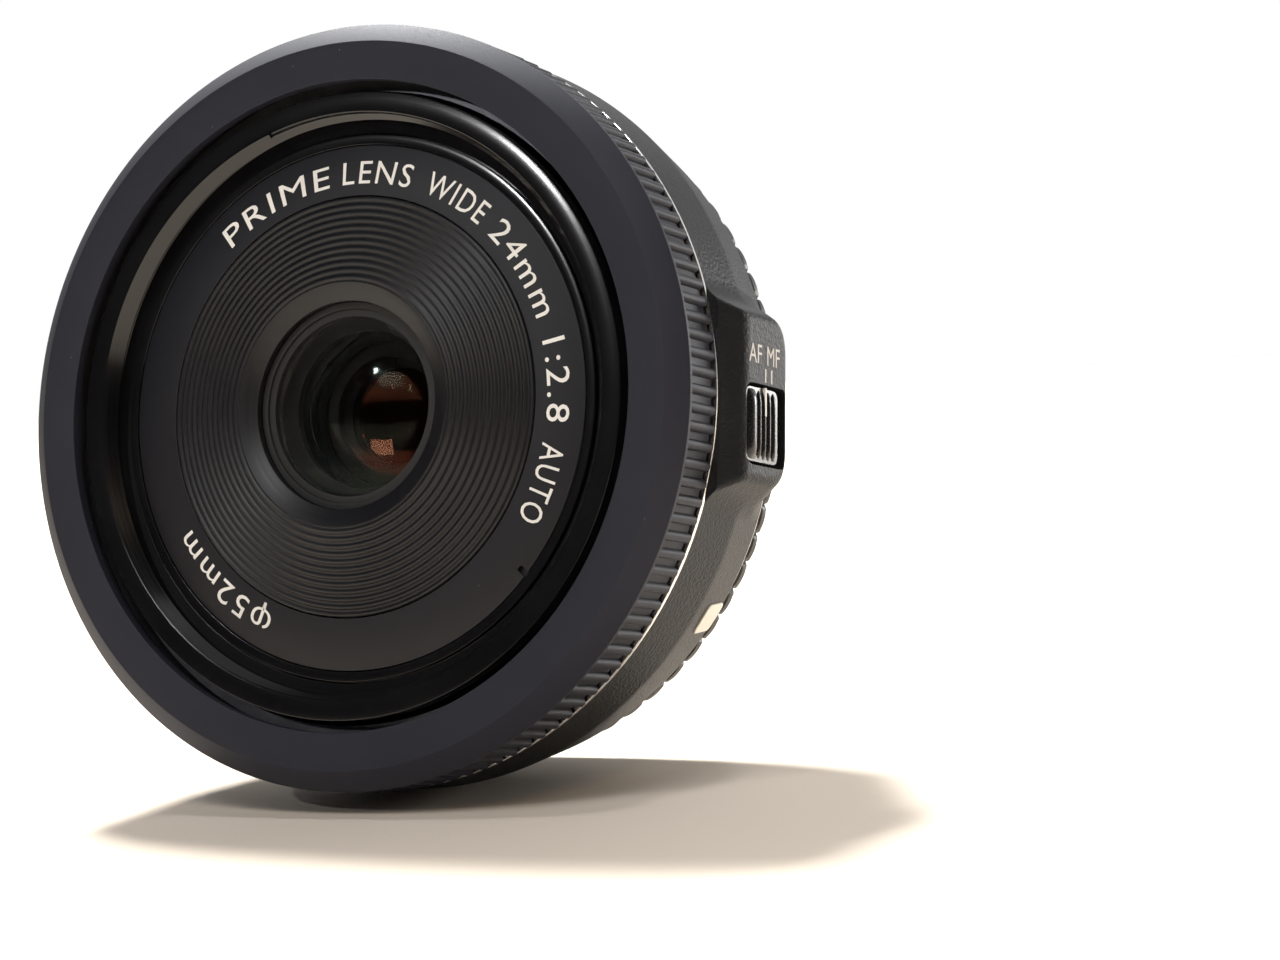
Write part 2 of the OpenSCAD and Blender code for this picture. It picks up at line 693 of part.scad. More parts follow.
module lens_spacer() {
    color([0.08, 0.08, 0.08]) optic()
        tube(glass1_r + glass_fit - 0.02, glass2_r - 0.6, cell_z + 3.21, 1.17);
}

module second_element() {
    color([0.55, 0.6, 0.65, 0.5]) optic()
        glass(glass2_r, cell_z + 0.87, cell_z + 3.15, 60, 30, cell_z + 1.22, cell_z + 2.9);
}

module iris_base() {
    z = iris_z;
    color([0.1, 0.1, 0.1]) optic() difference() {
        union() {
            tube(cell_r - 0.2, iris_open_r, z, 0.4);
            tube(cell_r - 0.2, cell_r - 1, z + 0.3, cell_z - z - 0.35);
            for (i = [0:blades - 1]) rotate([0, 0, i * 360 / blades])
                translate([pivot_r, 0, z + 0.3]) cylinder(r = 0.4, h = drive_z - z - 0.4, $fn = 32);
        }
        rotate([0, 0, 300]) translate([cell_r - 2, -6, z + 0.5]) cube([4, 12, 4]);
    }
}

module iris_drive_ring() {
    color([0.3, 0.3, 0.3]) optic() translate([0, 0, drive_z + 0.05]) linear_extrude(0.4) difference() {
        union() {
            circle(r = drive_circle + 1.5);
            intersection() {
                rotate([0, 0, 300]) polygon(wheel_sector(2 * drive_pitch_r / drive_module, drive_module));
                rotate([0, 0, 300]) polygon([[0, 0], [20, -4.1], [20, 4.1]]);
            }
        }
        circle(r = snout_r + axle_fit);
        for (i = [0:blades - 1]) rotate([0, 0, i * 360 / blades])
            translate([drive_circle + 0.09, 0]) circle(r = drive_pin_r + 0.15, $fn = 32);
    }
}

// toothed fan: a tooth points along +X
function wheel_sector(n, m) = concat([[0, 0]], let (r = n * m / 2, half = 90 / n - 0.1)
    [for (i = [-5:5], k = [0:5]) polar(
        [r - 1.2 * m, r, r + 0.8 * m, r + 0.8 * m, r, r - 1.2 * m][k],
        i * 360 / n + [-1.5, -1, -0.42, 0.42, 1, 1.5][k] * half)]);

// one blade at its own level: a crescent hung on its pivot, with a pin for the drive ring
module iris_blade(i) {
    level = blade_z + i * blade_pitch;
    color([0.2, 0.2, 0.21]) optic() rotate([0, 0, i * 360 / blades]) {
        translate([0, 0, level]) linear_extrude(blade_t) difference() {
            union() {
                intersection() {
                    difference() {
                        circle(r = blade_out_r);
                        circle(r = blade_in_r);
                    }
                    polygon([[0, 0], [12, 0.6], [12, -14], [-9, -14], 14 * polar(1, -blade_sweep)]);
                }
                hull() {
                    translate([pivot_r, 0]) circle(r = 0.85, $fn = 28);
                    translate([blade_in_r + 0.7, -0.2]) circle(r = 0.6, $fn = 28);
                }
            }
            translate([pivot_r, 0]) circle(r = 0.45, $fn = 32);
        }
        translate([drive_circle, 0, level + blade_t / 2])
            cylinder(r = drive_pin_r, h = drive_z + 0.45 - level - blade_t / 2, $fn = 32);
    }
}

module iris_blade_1() { iris_blade(0); }
module iris_blade_2() { iris_blade(1); }
module iris_blade_3() { iris_blade(2); }
module iris_blade_4() { iris_blade(3); }
module iris_blade_5() { iris_blade(4); }
module iris_blade_6() { iris_blade(5); }
module iris_blade_7() { iris_blade(6); }

module iris_motor() {
    color([0.7, 0.7, 0.72]) optic() translate([iris_wheel_at[0], iris_wheel_at[1], cell_z + 0.1]) difference() {
        cylinder(r = 2.6, h = floor_z - floor_t - cell_z - 0.15);
        translate([0, 0, -1]) cylinder(r = 0.4, h = 3);
    }
}

module iris_pinion() {
    color([0.9, 0.88, 0.82]) optic() translate(iris_wheel_at) {
        spur(iris_teeth, drive_module, drive_z - 0.1, 0.75, 300 + 180 + 180 / iris_teeth);
        translate([0, 0, drive_z]) cylinder(r = 0.35, h = cell_z + 1.8 - drive_z, $fn = 32);
    }
}

module rear_cell() {
    z = rear_cell_z;
    color([0.1, 0.1, 0.1]) optic()
        turned([[rear_cell_r, z], [rear_cell_r, iris_z - 0.7], [cell_r - 0.2, iris_z - 0.7], [cell_r - 0.2, iris_z - 0.02],
            [glass34_r + glass_fit, iris_z - 0.02], [glass34_r + glass_fit, z + 8.3], [glass34_r - 0.7, z + 8.3],
            [glass34_r - 0.7, z + 7.35], [glass5_r + glass_fit, z + 7.35], [glass5_r + glass_fit, z + 4],
            [glass6_r + glass_fit, z + 4], [glass6_r + glass_fit, z]]);
}

module third_element() {
    z = rear_cell_z;
    color([0.55, 0.6, 0.65, 0.5]) optic() glass(glass34_r, z + 9.2, z + 12, 14, 30, z + 10.9, z + 11.2);
}

module fourth_element() {
    z = rear_cell_z;
    color([0.55, 0.6, 0.65, 0.5]) optic() difference() {
        translate([0, 0, z + 8.31]) cylinder(r = glass34_r, h = 3.6);
        translate([0, 0, z + 9.2 + 14]) sphere(r = 14, $fn = 200);
    }
}

module fifth_element() {
    z = rear_cell_z;
    color([0.55, 0.6, 0.65, 0.5]) optic() glass(glass5_r, z + 4.6, z + 7.2, 16, -60, z + 5, z + 7.3);
}

module rear_element() {
    z = rear_cell_z;
    color([0.55, 0.6, 0.65, 0.5]) optic() glass(glass6_r, z + 1.2, z + 3.95, 50, -35, z + 1.5, z + 3.95);
}

module rear_retainer() {
    color([0.08, 0.08, 0.08]) optic()
        tube(glass6_r + glass_fit - 0.02, glass6_r - 1, rear_cell_z + 0.1, 0.9);
}

module rear_cap() {
    back = -cap_gap - cap_len;
    color([0.12, 0.12, 0.12]) optic() difference() {
        intersection() {
            translate([0, 0, back]) linear_extrude(cap_len) polygon(ribbed(cap_lobes, cap_r, cap_r - 0.6));
            // lobed rim at the front, then a shoulder that narrows to the flat back
            turned([[0, -cap_gap], [cap_r + 0.5, -cap_gap], [cap_r + 0.5, -cap_gap - 0.55],
                [cap_r - 1.9, -cap_gap - 2.05], [cap_r - 3.8, back + 0.85], [cap_r - 4.5, back], [0, back]]);
        }
        translate([0, 0, back + cap_back_t]) cylinder(r = bayonet_r + 0.6, h = cap_len);
        difference() {
            translate([0, 0, lug_z - 0.5]) cylinder(r = cap_in_r, h = cap_len);
            for (a = [15, 135, 255])
                sector(bayonet_r + 0.4, cap_in_r + 1, a - 20, a + 20, lug_z + lug_t + 0.4, 1.4);
        }
    }
}

focus_ring();
trim_ring();
outer_barrel();
mount_index();
switch_knob();
switch_contact();
mount_ring();
mount_screws();
rear_baffle();
contact_block();
contact_pins();
contact_flex();
main_board();
board_screws();
control_chip();
driver_chip();
flex_connector();
home_sensor();
ring_sensors();
guide_barrel();
cam_ring();
focus_motor();
gear_plate();
motor_pinion();
idler_gear();
output_gear();
front_barrel();
guide_pins();
name_ring();
front_baffle();
front_cell();
cell_screws();
front_retainer();
front_element();
lens_spacer();
second_element();
iris_base();
iris_drive_ring();
iris_blade_1();
iris_blade_2();
iris_blade_3();
iris_blade_4();
iris_blade_5();
iris_blade_6();
iris_blade_7();
iris_motor();
iris_pinion();
rear_cell();
third_element();
fourth_element();
fifth_element();
rear_element();
rear_retainer();
rear_cap();
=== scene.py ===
import math
import bmesh
import bpy
import numpy as np
from mathutils import Matrix, Vector


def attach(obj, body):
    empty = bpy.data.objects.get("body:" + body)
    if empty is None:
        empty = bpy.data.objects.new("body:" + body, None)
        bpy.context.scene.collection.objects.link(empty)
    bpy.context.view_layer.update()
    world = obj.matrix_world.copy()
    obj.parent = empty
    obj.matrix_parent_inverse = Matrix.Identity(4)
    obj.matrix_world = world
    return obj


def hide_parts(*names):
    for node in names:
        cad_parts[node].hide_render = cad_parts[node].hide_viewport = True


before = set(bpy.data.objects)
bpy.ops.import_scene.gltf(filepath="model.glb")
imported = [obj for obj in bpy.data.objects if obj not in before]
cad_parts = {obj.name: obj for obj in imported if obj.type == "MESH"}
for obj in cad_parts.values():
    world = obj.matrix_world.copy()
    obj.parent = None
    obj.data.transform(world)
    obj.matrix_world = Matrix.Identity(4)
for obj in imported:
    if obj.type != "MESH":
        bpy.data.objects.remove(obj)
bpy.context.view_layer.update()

print("frame loaded")

mm = 0.001


def rounded(corners, arcSteps=3):
    # corners of a closed outline as (x, y) or (x, y, fillet)
    out, n = [], len(corners)
    for i, corner in enumerate(corners):
        p = np.array(corner[:2], float)
        if len(corner) < 3:
            out.append(tuple(p))
            continue
        u = np.array(corners[i - 1][:2], float) - p
        v = np.array(corners[(i + 1) % n][:2], float) - p
        lu, lv = np.linalg.norm(u), np.linalg.norm(v)
        u, v = u / lu, v / lv
        half = math.acos(max(-1, min(1, float(u @ v)))) / 2
        cut = min(corner[2] / math.tan(half), 0.47 * lu, 0.47 * lv)
        for k in range(arcSteps + 1):
            t = k / arcSteps
            out.append(tuple((1 - t) ** 2 * (p + u * cut) + 2 * t * (1 - t) * p + t * t * (p + v * cut)))
    return out


def box(left, right, low, high, *fillet):
    # corners of a rectangle, each with the fillet if one is given
    return [(u, v, *fillet) for u, v in ((left, low), (right, low), (right, high), (left, high))]


def meshObject(name, verts, faces, material, sharp=32):
    mesh = bpy.data.meshes.new(name)
    mesh.from_pydata([tuple(float(c) * mm for c in v) for v in verts], [], faces)
    return finishMesh(name, mesh, material, sharp)


def finishMesh(name, mesh, material, sharp=32):
    bm = bmesh.new()
    bm.from_mesh(mesh)
    bmesh.ops.remove_doubles(bm, verts=bm.verts, dist=1e-7)
    bmesh.ops.recalc_face_normals(bm, faces=bm.faces)
    bm.to_mesh(mesh)
    bm.free()
    mesh.materials.clear()
    mesh.materials.append(material)
    mesh.shade_smooth()
    mesh.set_sharp_from_angle(angle=math.radians(sharp))
    piece = bpy.data.objects.new(name, mesh)
    bpy.context.scene.collection.objects.link(piece)
    return piece


def tubeFaces(rows, steps):
    # quads round a closed tube of rows, each row closed round the axis
    following = [(k + 1) % steps for k in range(steps)]
    above = [(i + 1) % rows for i in range(rows)]
    return [(i * steps + k, above[i] * steps + k, above[i] * steps + following[k], i * steps + following[k])
            for i in range(rows) for k in range(steps)]


def lathe(name, outline, material, steps=256, shape=None, sharp=32):
    # outline of [radius, height] turned about the optical axis; shape(angles, radius, height) may wave the radius
    angles = np.linspace(0, 2 * math.pi, steps, endpoint=False)
    verts = []
    for r, h in outline:
        rr = np.full(steps, float(r)) if shape is None else shape(angles, r, h)
        verts.append(np.stack([rr * np.cos(angles), np.full(steps, -float(h)), rr * np.sin(angles)], 1))
    n = len(outline)
    return meshObject(name, np.concatenate(verts), tubeFaces(n, steps), material, sharp)


def disc(name, outline, material, steps=160, sharp=40):
    # like lathe, for an open outline that starts and ends on the axis
    angles = np.linspace(0, 2 * math.pi, steps, endpoint=False)
    inner = outline[1:-1]
    verts = [(0, -outline[0][1], 0)]
    for r, h in inner:
        verts += [(r * math.cos(a), -h, r * math.sin(a)) for a in angles]
    verts.append((0, -outline[-1][1], 0))
    last, n = len(verts) - 1, len(inner)
    following = [(k + 1) % steps for k in range(steps)]
    faces = [(i * steps + 1 + k, (i + 1) * steps + 1 + k, (i + 1) * steps + 1 + following[k],
              i * steps + 1 + following[k]) for i in range(n - 1) for k in range(steps)]
    faces += [(0, 1 + k, 1 + following[k]) for k in range(steps)]
    faces += [(last, 1 + (n - 1) * steps + following[k], 1 + (n - 1) * steps + k) for k in range(steps)]
    return meshObject(name, verts, faces, material, sharp)


def prism(name, outline, low, high, material, toPoint, chamfer=0.0, sharp=32):
    # flat outline raised from low to high, with a small chamfer round the top; toPoint(u, v, t) places it
    pts = np.array(outline, float)
    centre = pts.mean(0)
    away = pts - centre
    shrink = 1 - chamfer / np.maximum(np.linalg.norm(away, axis=1, keepdims=True), 1e-6)
    rings = [(pts, low), (pts, high)]
    if chamfer:
        rings = [(pts, low), (pts, high - chamfer), (centre + away * shrink, high)]
    verts = [toPoint(u, v, t) for ring, t in rings for u, v in ring]
    n = len(pts)
    faces = [(i * n + k, i * n + (k + 1) % n, (i + 1) * n + (k + 1) % n, (i + 1) * n + k)
             for i in range(len(rings) - 1) for k in range(n)]
    faces += [tuple(range(n)), tuple(range((len(rings) - 1) * n, len(rings) * n))]
    return meshObject(name, verts, faces, material, sharp)


def alongAxis(u, v, t):
    # an outline drawn across the axis and raised along it
    return (u, -t, v)


def fromSide(u, v, t):
    # an outline drawn on the switch side, across and along the axis, and raised outward
    return (t, -v, u)


def turnedBy(degrees):
    # like alongAxis, with the outline turned about the axis
    return lambda u, v, t: polar(math.hypot(u, v), degrees + math.degrees(math.atan2(v, u)), t)


def cutBy(piece, tools):
    # the piece's mesh with the tools taken out of it; piece and tools are used up
    for tool in tools:
        cut = piece.modifiers.new("cut", "BOOLEAN")
        cut.operation, cut.object, cut.solver = "DIFFERENCE", tool, "EXACT"
    mesh = bpy.data.meshes.new_from_object(piece.evaluated_get(bpy.context.evaluated_depsgraph_get()))
    for used in (piece, *tools):
        bpy.data.objects.remove(used)
    return mesh


def polar(r, degrees, h):
    a = math.radians(degrees)
    return (r * math.cos(a), -h, r * math.sin(a))


def joined(name, pieces):
    bm = bmesh.new()
    for p in pieces:
        bm.from_mesh(p.data)
    mesh = bpy.data.meshes.new(name)
    bm.to_mesh(mesh)
    bm.free()
    material = pieces[0].data.materials[0]
    for p in pieces:
        bpy.data.objects.remove(p)
    mesh.materials.append(material)
    piece = bpy.data.objects.new(name, mesh)
    bpy.context.scene.collection.objects.link(piece)
    return piece


def place(piece, body, slot, *nodes):
    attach(piece, body)
    if nodes:
        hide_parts(*nodes)
    return piece


def sockets(tree, specs):
    return {name: tree.interface.new_socket(name, in_out=way, socket_type="NodeSocket" + kind).identifier
            for name, way, kind in specs}


def patternTree():
    # copies of the piece, each turned about the optical axis and moved along it by a fixed step
    tree = bpy.data.node_groups.new("turnedPattern", "GeometryNodeTree")
    ids = sockets(tree, [("Unit", "INPUT", "Geometry"), ("Count", "INPUT", "Int"), ("First Angle", "INPUT", "Float"),
                         ("Angle Step", "INPUT", "Float"), ("Length Step", "INPUT", "Float"),
                         ("Finish", "INPUT", "Material"), ("Result", "OUTPUT", "Geometry")])
    node, link = tree.nodes.new, tree.links.new
    given, out = node("NodeGroupInput"), node("NodeGroupOutput")
    line, index = node("GeometryNodeMeshLine"), node("GeometryNodeInputIndex")
    link(given.outputs["Count"], line.inputs["Count"])
    line.inputs["Offset"].default_value = (0, 0, 0)
    turn, toward, along = node("ShaderNodeMath"), node("ShaderNodeMath"), node("ShaderNodeMath")
    turn.operation, toward.operation, along.operation = "MULTIPLY_ADD", "MULTIPLY", "MULTIPLY"
    link(index.outputs[0], turn.inputs[0])
    link(given.outputs["Angle Step"], turn.inputs[1])
    link(given.outputs["First Angle"], turn.inputs[2])
    link(turn.outputs[0], toward.inputs[0])
    toward.inputs[1].default_value = -1
    link(index.outputs[0], along.inputs[0])
    link(given.outputs["Length Step"], along.inputs[1])
    spin, shift = node("ShaderNodeCombineXYZ"), node("ShaderNodeCombineXYZ")
    link(toward.outputs[0], spin.inputs["Y"])
    link(along.outputs[0], shift.inputs["Y"])
    move, copies = node("GeometryNodeSetPosition"), node("GeometryNodeInstanceOnPoints")
    link(line.outputs["Mesh"], move.inputs["Geometry"])
    link(shift.outputs[0], move.inputs["Offset"])
    link(move.outputs["Geometry"], copies.inputs["Points"])
    link(given.outputs["Unit"], copies.inputs["Instance"])
    link(spin.outputs[0], copies.inputs["Rotation"])
    real, paint = node("GeometryNodeRealizeInstances"), node("GeometryNodeSetMaterial")
    link(copies.outputs["Instances"], real.inputs["Geometry"])
    link(real.outputs["Geometry"], paint.inputs["Geometry"])
    link(given.outputs["Finish"], paint.inputs["Material"])
    link(paint.outputs["Geometry"], out.inputs["Result"])
    return tree, ids


def threadTree():
    # a ridge of four-sided section swept along a helix round the optical axis
    tree = bpy.data.node_groups.new("screwThread", "GeometryNodeTree")
    ids = sockets(tree, [("Base", "INPUT", "Geometry"), ("Radius", "INPUT", "Float"), ("Pitch", "INPUT", "Float"),
                         ("Turns", "INPUT", "Float"), ("Start", "INPUT", "Float"), ("Ridge", "INPUT", "Float"),
                         ("Finish", "INPUT", "Material"), ("Result", "OUTPUT", "Geometry")])
    node, link = tree.nodes.new, tree.links.new
    given, out = node("NodeGroupInput"), node("NodeGroupOutput")
    spiral, rise, lift = node("GeometryNodeCurveSpiral"), node("ShaderNodeMath"), node("ShaderNodeCombineXYZ")
    rise.operation = "MULTIPLY"
    link(given.outputs["Pitch"], rise.inputs[0])
    link(given.outputs["Turns"], rise.inputs[1])
    spiral.inputs["Resolution"].default_value = 160
    link(given.outputs["Turns"], spiral.inputs["Rotations"])
    link(given.outputs["Radius"], spiral.inputs["Start Radius"])
    link(given.outputs["Radius"], spiral.inputs["End Radius"])
    link(rise.outputs[0], spiral.inputs["Height"])
    upright = node("GeometryNodeSetCurveNormal")
    upright.mode = "Z_UP"
    link(spiral.outputs["Curve"], upright.inputs["Curve"])
    section, sweep = node("GeometryNodeCurvePrimitiveCircle"), node("GeometryNodeCurveToMesh")
    section.inputs["Resolution"].default_value = 4
    link(given.outputs["Ridge"], section.inputs["Radius"])
    link(upright.outputs["Curve"], sweep.inputs["Curve"])
    link(section.outputs["Curve"], sweep.inputs["Profile Curve"])
    sweep.inputs["Fill Caps"].default_value = True
    link(given.outputs["Start"], lift.inputs["Y"])
    stand = node("GeometryNodeTransform")
    real, paint = node("GeometryNodeRealizeInstances"), node("GeometryNodeSetMaterial")
    link(sweep.outputs["Mesh"], stand.inputs["Geometry"])
    stand.inputs["Rotation"].default_value = (math.radians(90), 0, 0)
    link(lift.outputs[0], stand.inputs["Translation"])
    link(stand.outputs["Geometry"], real.inputs["Geometry"])
    link(real.outputs["Geometry"], paint.inputs["Geometry"])
    link(given.outputs["Finish"], paint.inputs["Material"])
    link(paint.outputs["Geometry"], out.inputs["Result"])
    return tree, ids


def grown(piece, treeAndIds, sharp=32, **values):
    # runs a node tree on the piece and keeps the result as its plain mesh
    tree, ids = treeAndIds
    modifier = piece.modifiers.new(tree.name, "NODES")
    modifier.node_group = tree
    for name, value in values.items():
        modifier[ids[name.replace("_", " ")]] = value
    piece.update_tag()
    ready = piece.evaluated_get(bpy.context.evaluated_depsgraph_get())
    mesh = bpy.data.meshes.new_from_object(ready)
    piece.modifiers.remove(modifier)
    name, material = piece.name, values["Finish"]
    bpy.data.objects.remove(piece)
    return finishMesh(name, mesh, material, sharp)


pattern = patternTree()
print("node trees ready")


class Finish:
    # a small wrapper that builds one material's nodes on object coordinates
    def __init__(self, name):
        self.material = bpy.data.materials.new(name)
        self.material.use_nodes = True
        self.tree = self.material.node_tree
        self.shader = self.tree.nodes["Principled BSDF"]
        self.where = self.tree.nodes.new("ShaderNodeTexCoord").outputs["Object"]

    def node(self, kind, **values):
        n = self.tree.nodes.new("ShaderNode" + kind)
        for key, value in values.items():
            if key in n.inputs:
                n.inputs[key].default_value = value
            else:
                setattr(n, key, value)
        return n

    def link(self, a, b):
        self.tree.links.new(a, b)

    def maths(self, operation, a, b):
        n = self.node("Math", operation=operation)
        for i, v in enumerate((a, b)):
            if isinstance(v, (int, float)):
                n.inputs[i].default_value = v
            else:
                self.link(v, n.inputs[i])
        return n.outputs[0]

    def noise(self, scale, detail=3, rough=0.55, where=None):
        n = self.node("TexNoise", Scale=scale, Detail=detail, Roughness=rough)
        self.link(where or self.where, n.inputs["Vector"])
        return n.outputs["Fac"]

    def cells(self, scale, feature="F1"):
        n = self.node("TexVoronoi", Scale=scale)
        n.feature = feature
        self.link(self.where, n.inputs["Vector"])
        return n

    def spread(self, value, low, high, fromLow=0.3, fromHigh=0.7):
        n = self.node("MapRange")
        self.link(value, n.inputs["Value"])
        for key, v in (("From Min", fromLow), ("From Max", fromHigh), ("To Min", low), ("To Max", high)):
            n.inputs[key].default_value = v
        return n.outputs[0]

    def blend(self, fac, a, b):
        n = self.node("Mix", data_type="RGBA")
        self.link(fac, n.inputs[0])
        for i, v in ((6, a), (7, b)):
            if isinstance(v, tuple):
                n.inputs[i].default_value = (*v, 1)
            else:
                self.link(v, n.inputs[i])
        return n.outputs[2]

    def bump(self, height, depth):
        n = self.node("Bump", Strength=1.0, Distance=depth)
        self.link(height, n.inputs["Height"])
        return n.outputs[0]

    def rings(self, scale):
        # fine turning marks: noise that changes with the distance from the axis only
        parts = self.node("SeparateXYZ")
        self.link(self.where, parts.inputs[0])
        flat = self.node("CombineXYZ")
        self.link(parts.outputs["X"], flat.inputs["X"])
        self.link(parts.outputs["Z"], flat.inputs["Y"])
        far = self.node("VectorMath", operation="LENGTH")
        self.link(flat.outputs[0], far.inputs[0])
        out = self.node("CombineXYZ")
        self.link(far.outputs["Value"], out.inputs["X"])
        self.link(parts.outputs["Y"], out.inputs["Y"])
        return self.noise(scale, detail=2, rough=0.7, where=out.outputs[0])

    def set(self, **values):
        for key, value in values.items():
            socket = self.shader.inputs[key.replace("_", " ")]
            if isinstance(value, (int, float, tuple)):
                socket.default_value = value if not isinstance(value, tuple) or len(value) == 4 else (*value, 1)
            else:
                self.link(value, socket)
        return self.material


def moulded(name, dark, light, roughLow, roughHigh, grainSize=0.12, grainDepth=0.006, specks=0.0, **fixed):
    # moulded plastic: a slow colour drift, a fine grain in bump and roughness, and a few specks of dust
    f = Finish(name)
    drift = f.noise(1 / (9 * mm), detail=4)
    grain = f.noise(1 / (grainSize * mm), detail=4, rough=0.6)
    mixed = f.maths("ADD", f.maths("MULTIPLY", drift, 0.6), f.maths("MULTIPLY", grain, 0.4))
    colour = f.blend(f.spread(mixed, 0, 1), dark, light)
    if specks:
        spots = f.cells(1 / (1.7 * mm))
        near = f.maths("LESS_THAN", spots.outputs["Distance"], 0.03)
        split = f.node("SeparateColor")
        f.link(spots.outputs["Color"], split.inputs[0])
        some = f.maths("MULTIPLY", near, f.maths("GREATER_THAN", split.outputs[0], 0.72))
        colour = f.blend(f.maths("MULTIPLY", some, specks), colour, (0.32, 0.31, 0.3))
    return f.set(Base_Color=colour, Roughness=f.spread(grain, roughLow, roughHigh),
                 Normal=f.bump(grain, grainDepth * mm), **fixed)


def pebbled(name, dark, light, roughLow, roughHigh, pebble, depth, **fixed):
    # fine leather-like pebbles of a spark-textured mould
    f = Finish(name)
    stones = f.cells(1 / (pebble * mm), "SMOOTH_F1")
    fine = f.noise(1 / (0.09 * mm), detail=3)
    drift = f.noise(1 / (7 * mm), detail=3)
    height = f.maths("ADD", f.maths("MULTIPLY", stones.outputs["Distance"], -1.0), f.maths("MULTIPLY", fine, 0.5))
    colour = f.blend(f.spread(drift, 0, 1), dark, light)
    return f.set(Base_Color=colour, Roughness=f.spread(fine, roughLow, roughHigh),
                 Normal=f.bump(height, depth * mm), **fixed)


def turnedMetal(name, dark, light, roughLow, roughHigh, ringSize=0.05):
    # bare or plated metal with fine turning marks
    f = Finish(name)
    marks = f.rings(1 / (ringSize * mm))
    cloud = f.noise(1 / (4 * mm), detail=3)
    colour = f.blend(f.spread(cloud, 0, 1), dark, light)
    return f.set(Base_Color=colour, Metallic=1.0, Roughness=f.spread(marks, roughLow, roughHigh),
                 Normal=f.bump(marks, 0.002 * mm))


def turnedBlack(name, dark, light, roughLow, roughHigh, ringSize=0.12, depth=0.002, **fixed):
    # black paint over fine turning marks
    f = Finish(name)
    marks = f.rings(1 / (ringSize * mm))
    fine = f.noise(1 / (0.1 * mm), detail=3)
    both = f.maths("ADD", f.maths("MULTIPLY", marks, 0.6), f.maths("MULTIPLY", fine, 0.4))
    colour = f.blend(f.spread(f.noise(1 / (6 * mm)), 0, 1), dark, light)
    return f.set(Base_Color=colour, Roughness=f.spread(both, roughLow, roughHigh),
                 Normal=f.bump(both, depth * mm), **fixed)


def coatedGlass(name, tint, index):
    # optical glass; the coating colours what it reflects, and faint dust breaks up the gloss
    f = Finish(name)
    body = (0.96, 0.985, 0.98)
    f.shader.inputs["IOR"].default_value = index
    dust = f.noise(1 / (0.6 * mm), detail=4)
    colour = f.blend(f.spread(f.noise(1 / (9 * mm)), 0, 1), body, tuple(c * 0.985 for c in body))
    return f.set(Base_Color=colour, Roughness=f.spread(dust, 0.03, 0.045), Transmission_Weight=1.0, Specular_Tint=tint)


def boardGreen():
    # solder mask with paler copper tracks under it
    f = Finish("boardGreen")
    tracks = f.cells(1 / (1.1 * mm), "DISTANCE_TO_EDGE")
    line = f.maths("LESS_THAN", tracks.outputs["Distance"], 0.06)
    colour = f.blend(line, (0.012, 0.11, 0.05), (0.03, 0.2, 0.09))
    return f.set(Base_Color=colour, Roughness=f.spread(f.noise(900), 0.3, 0.45), Normal=f.bump(line, 0.01 * mm))


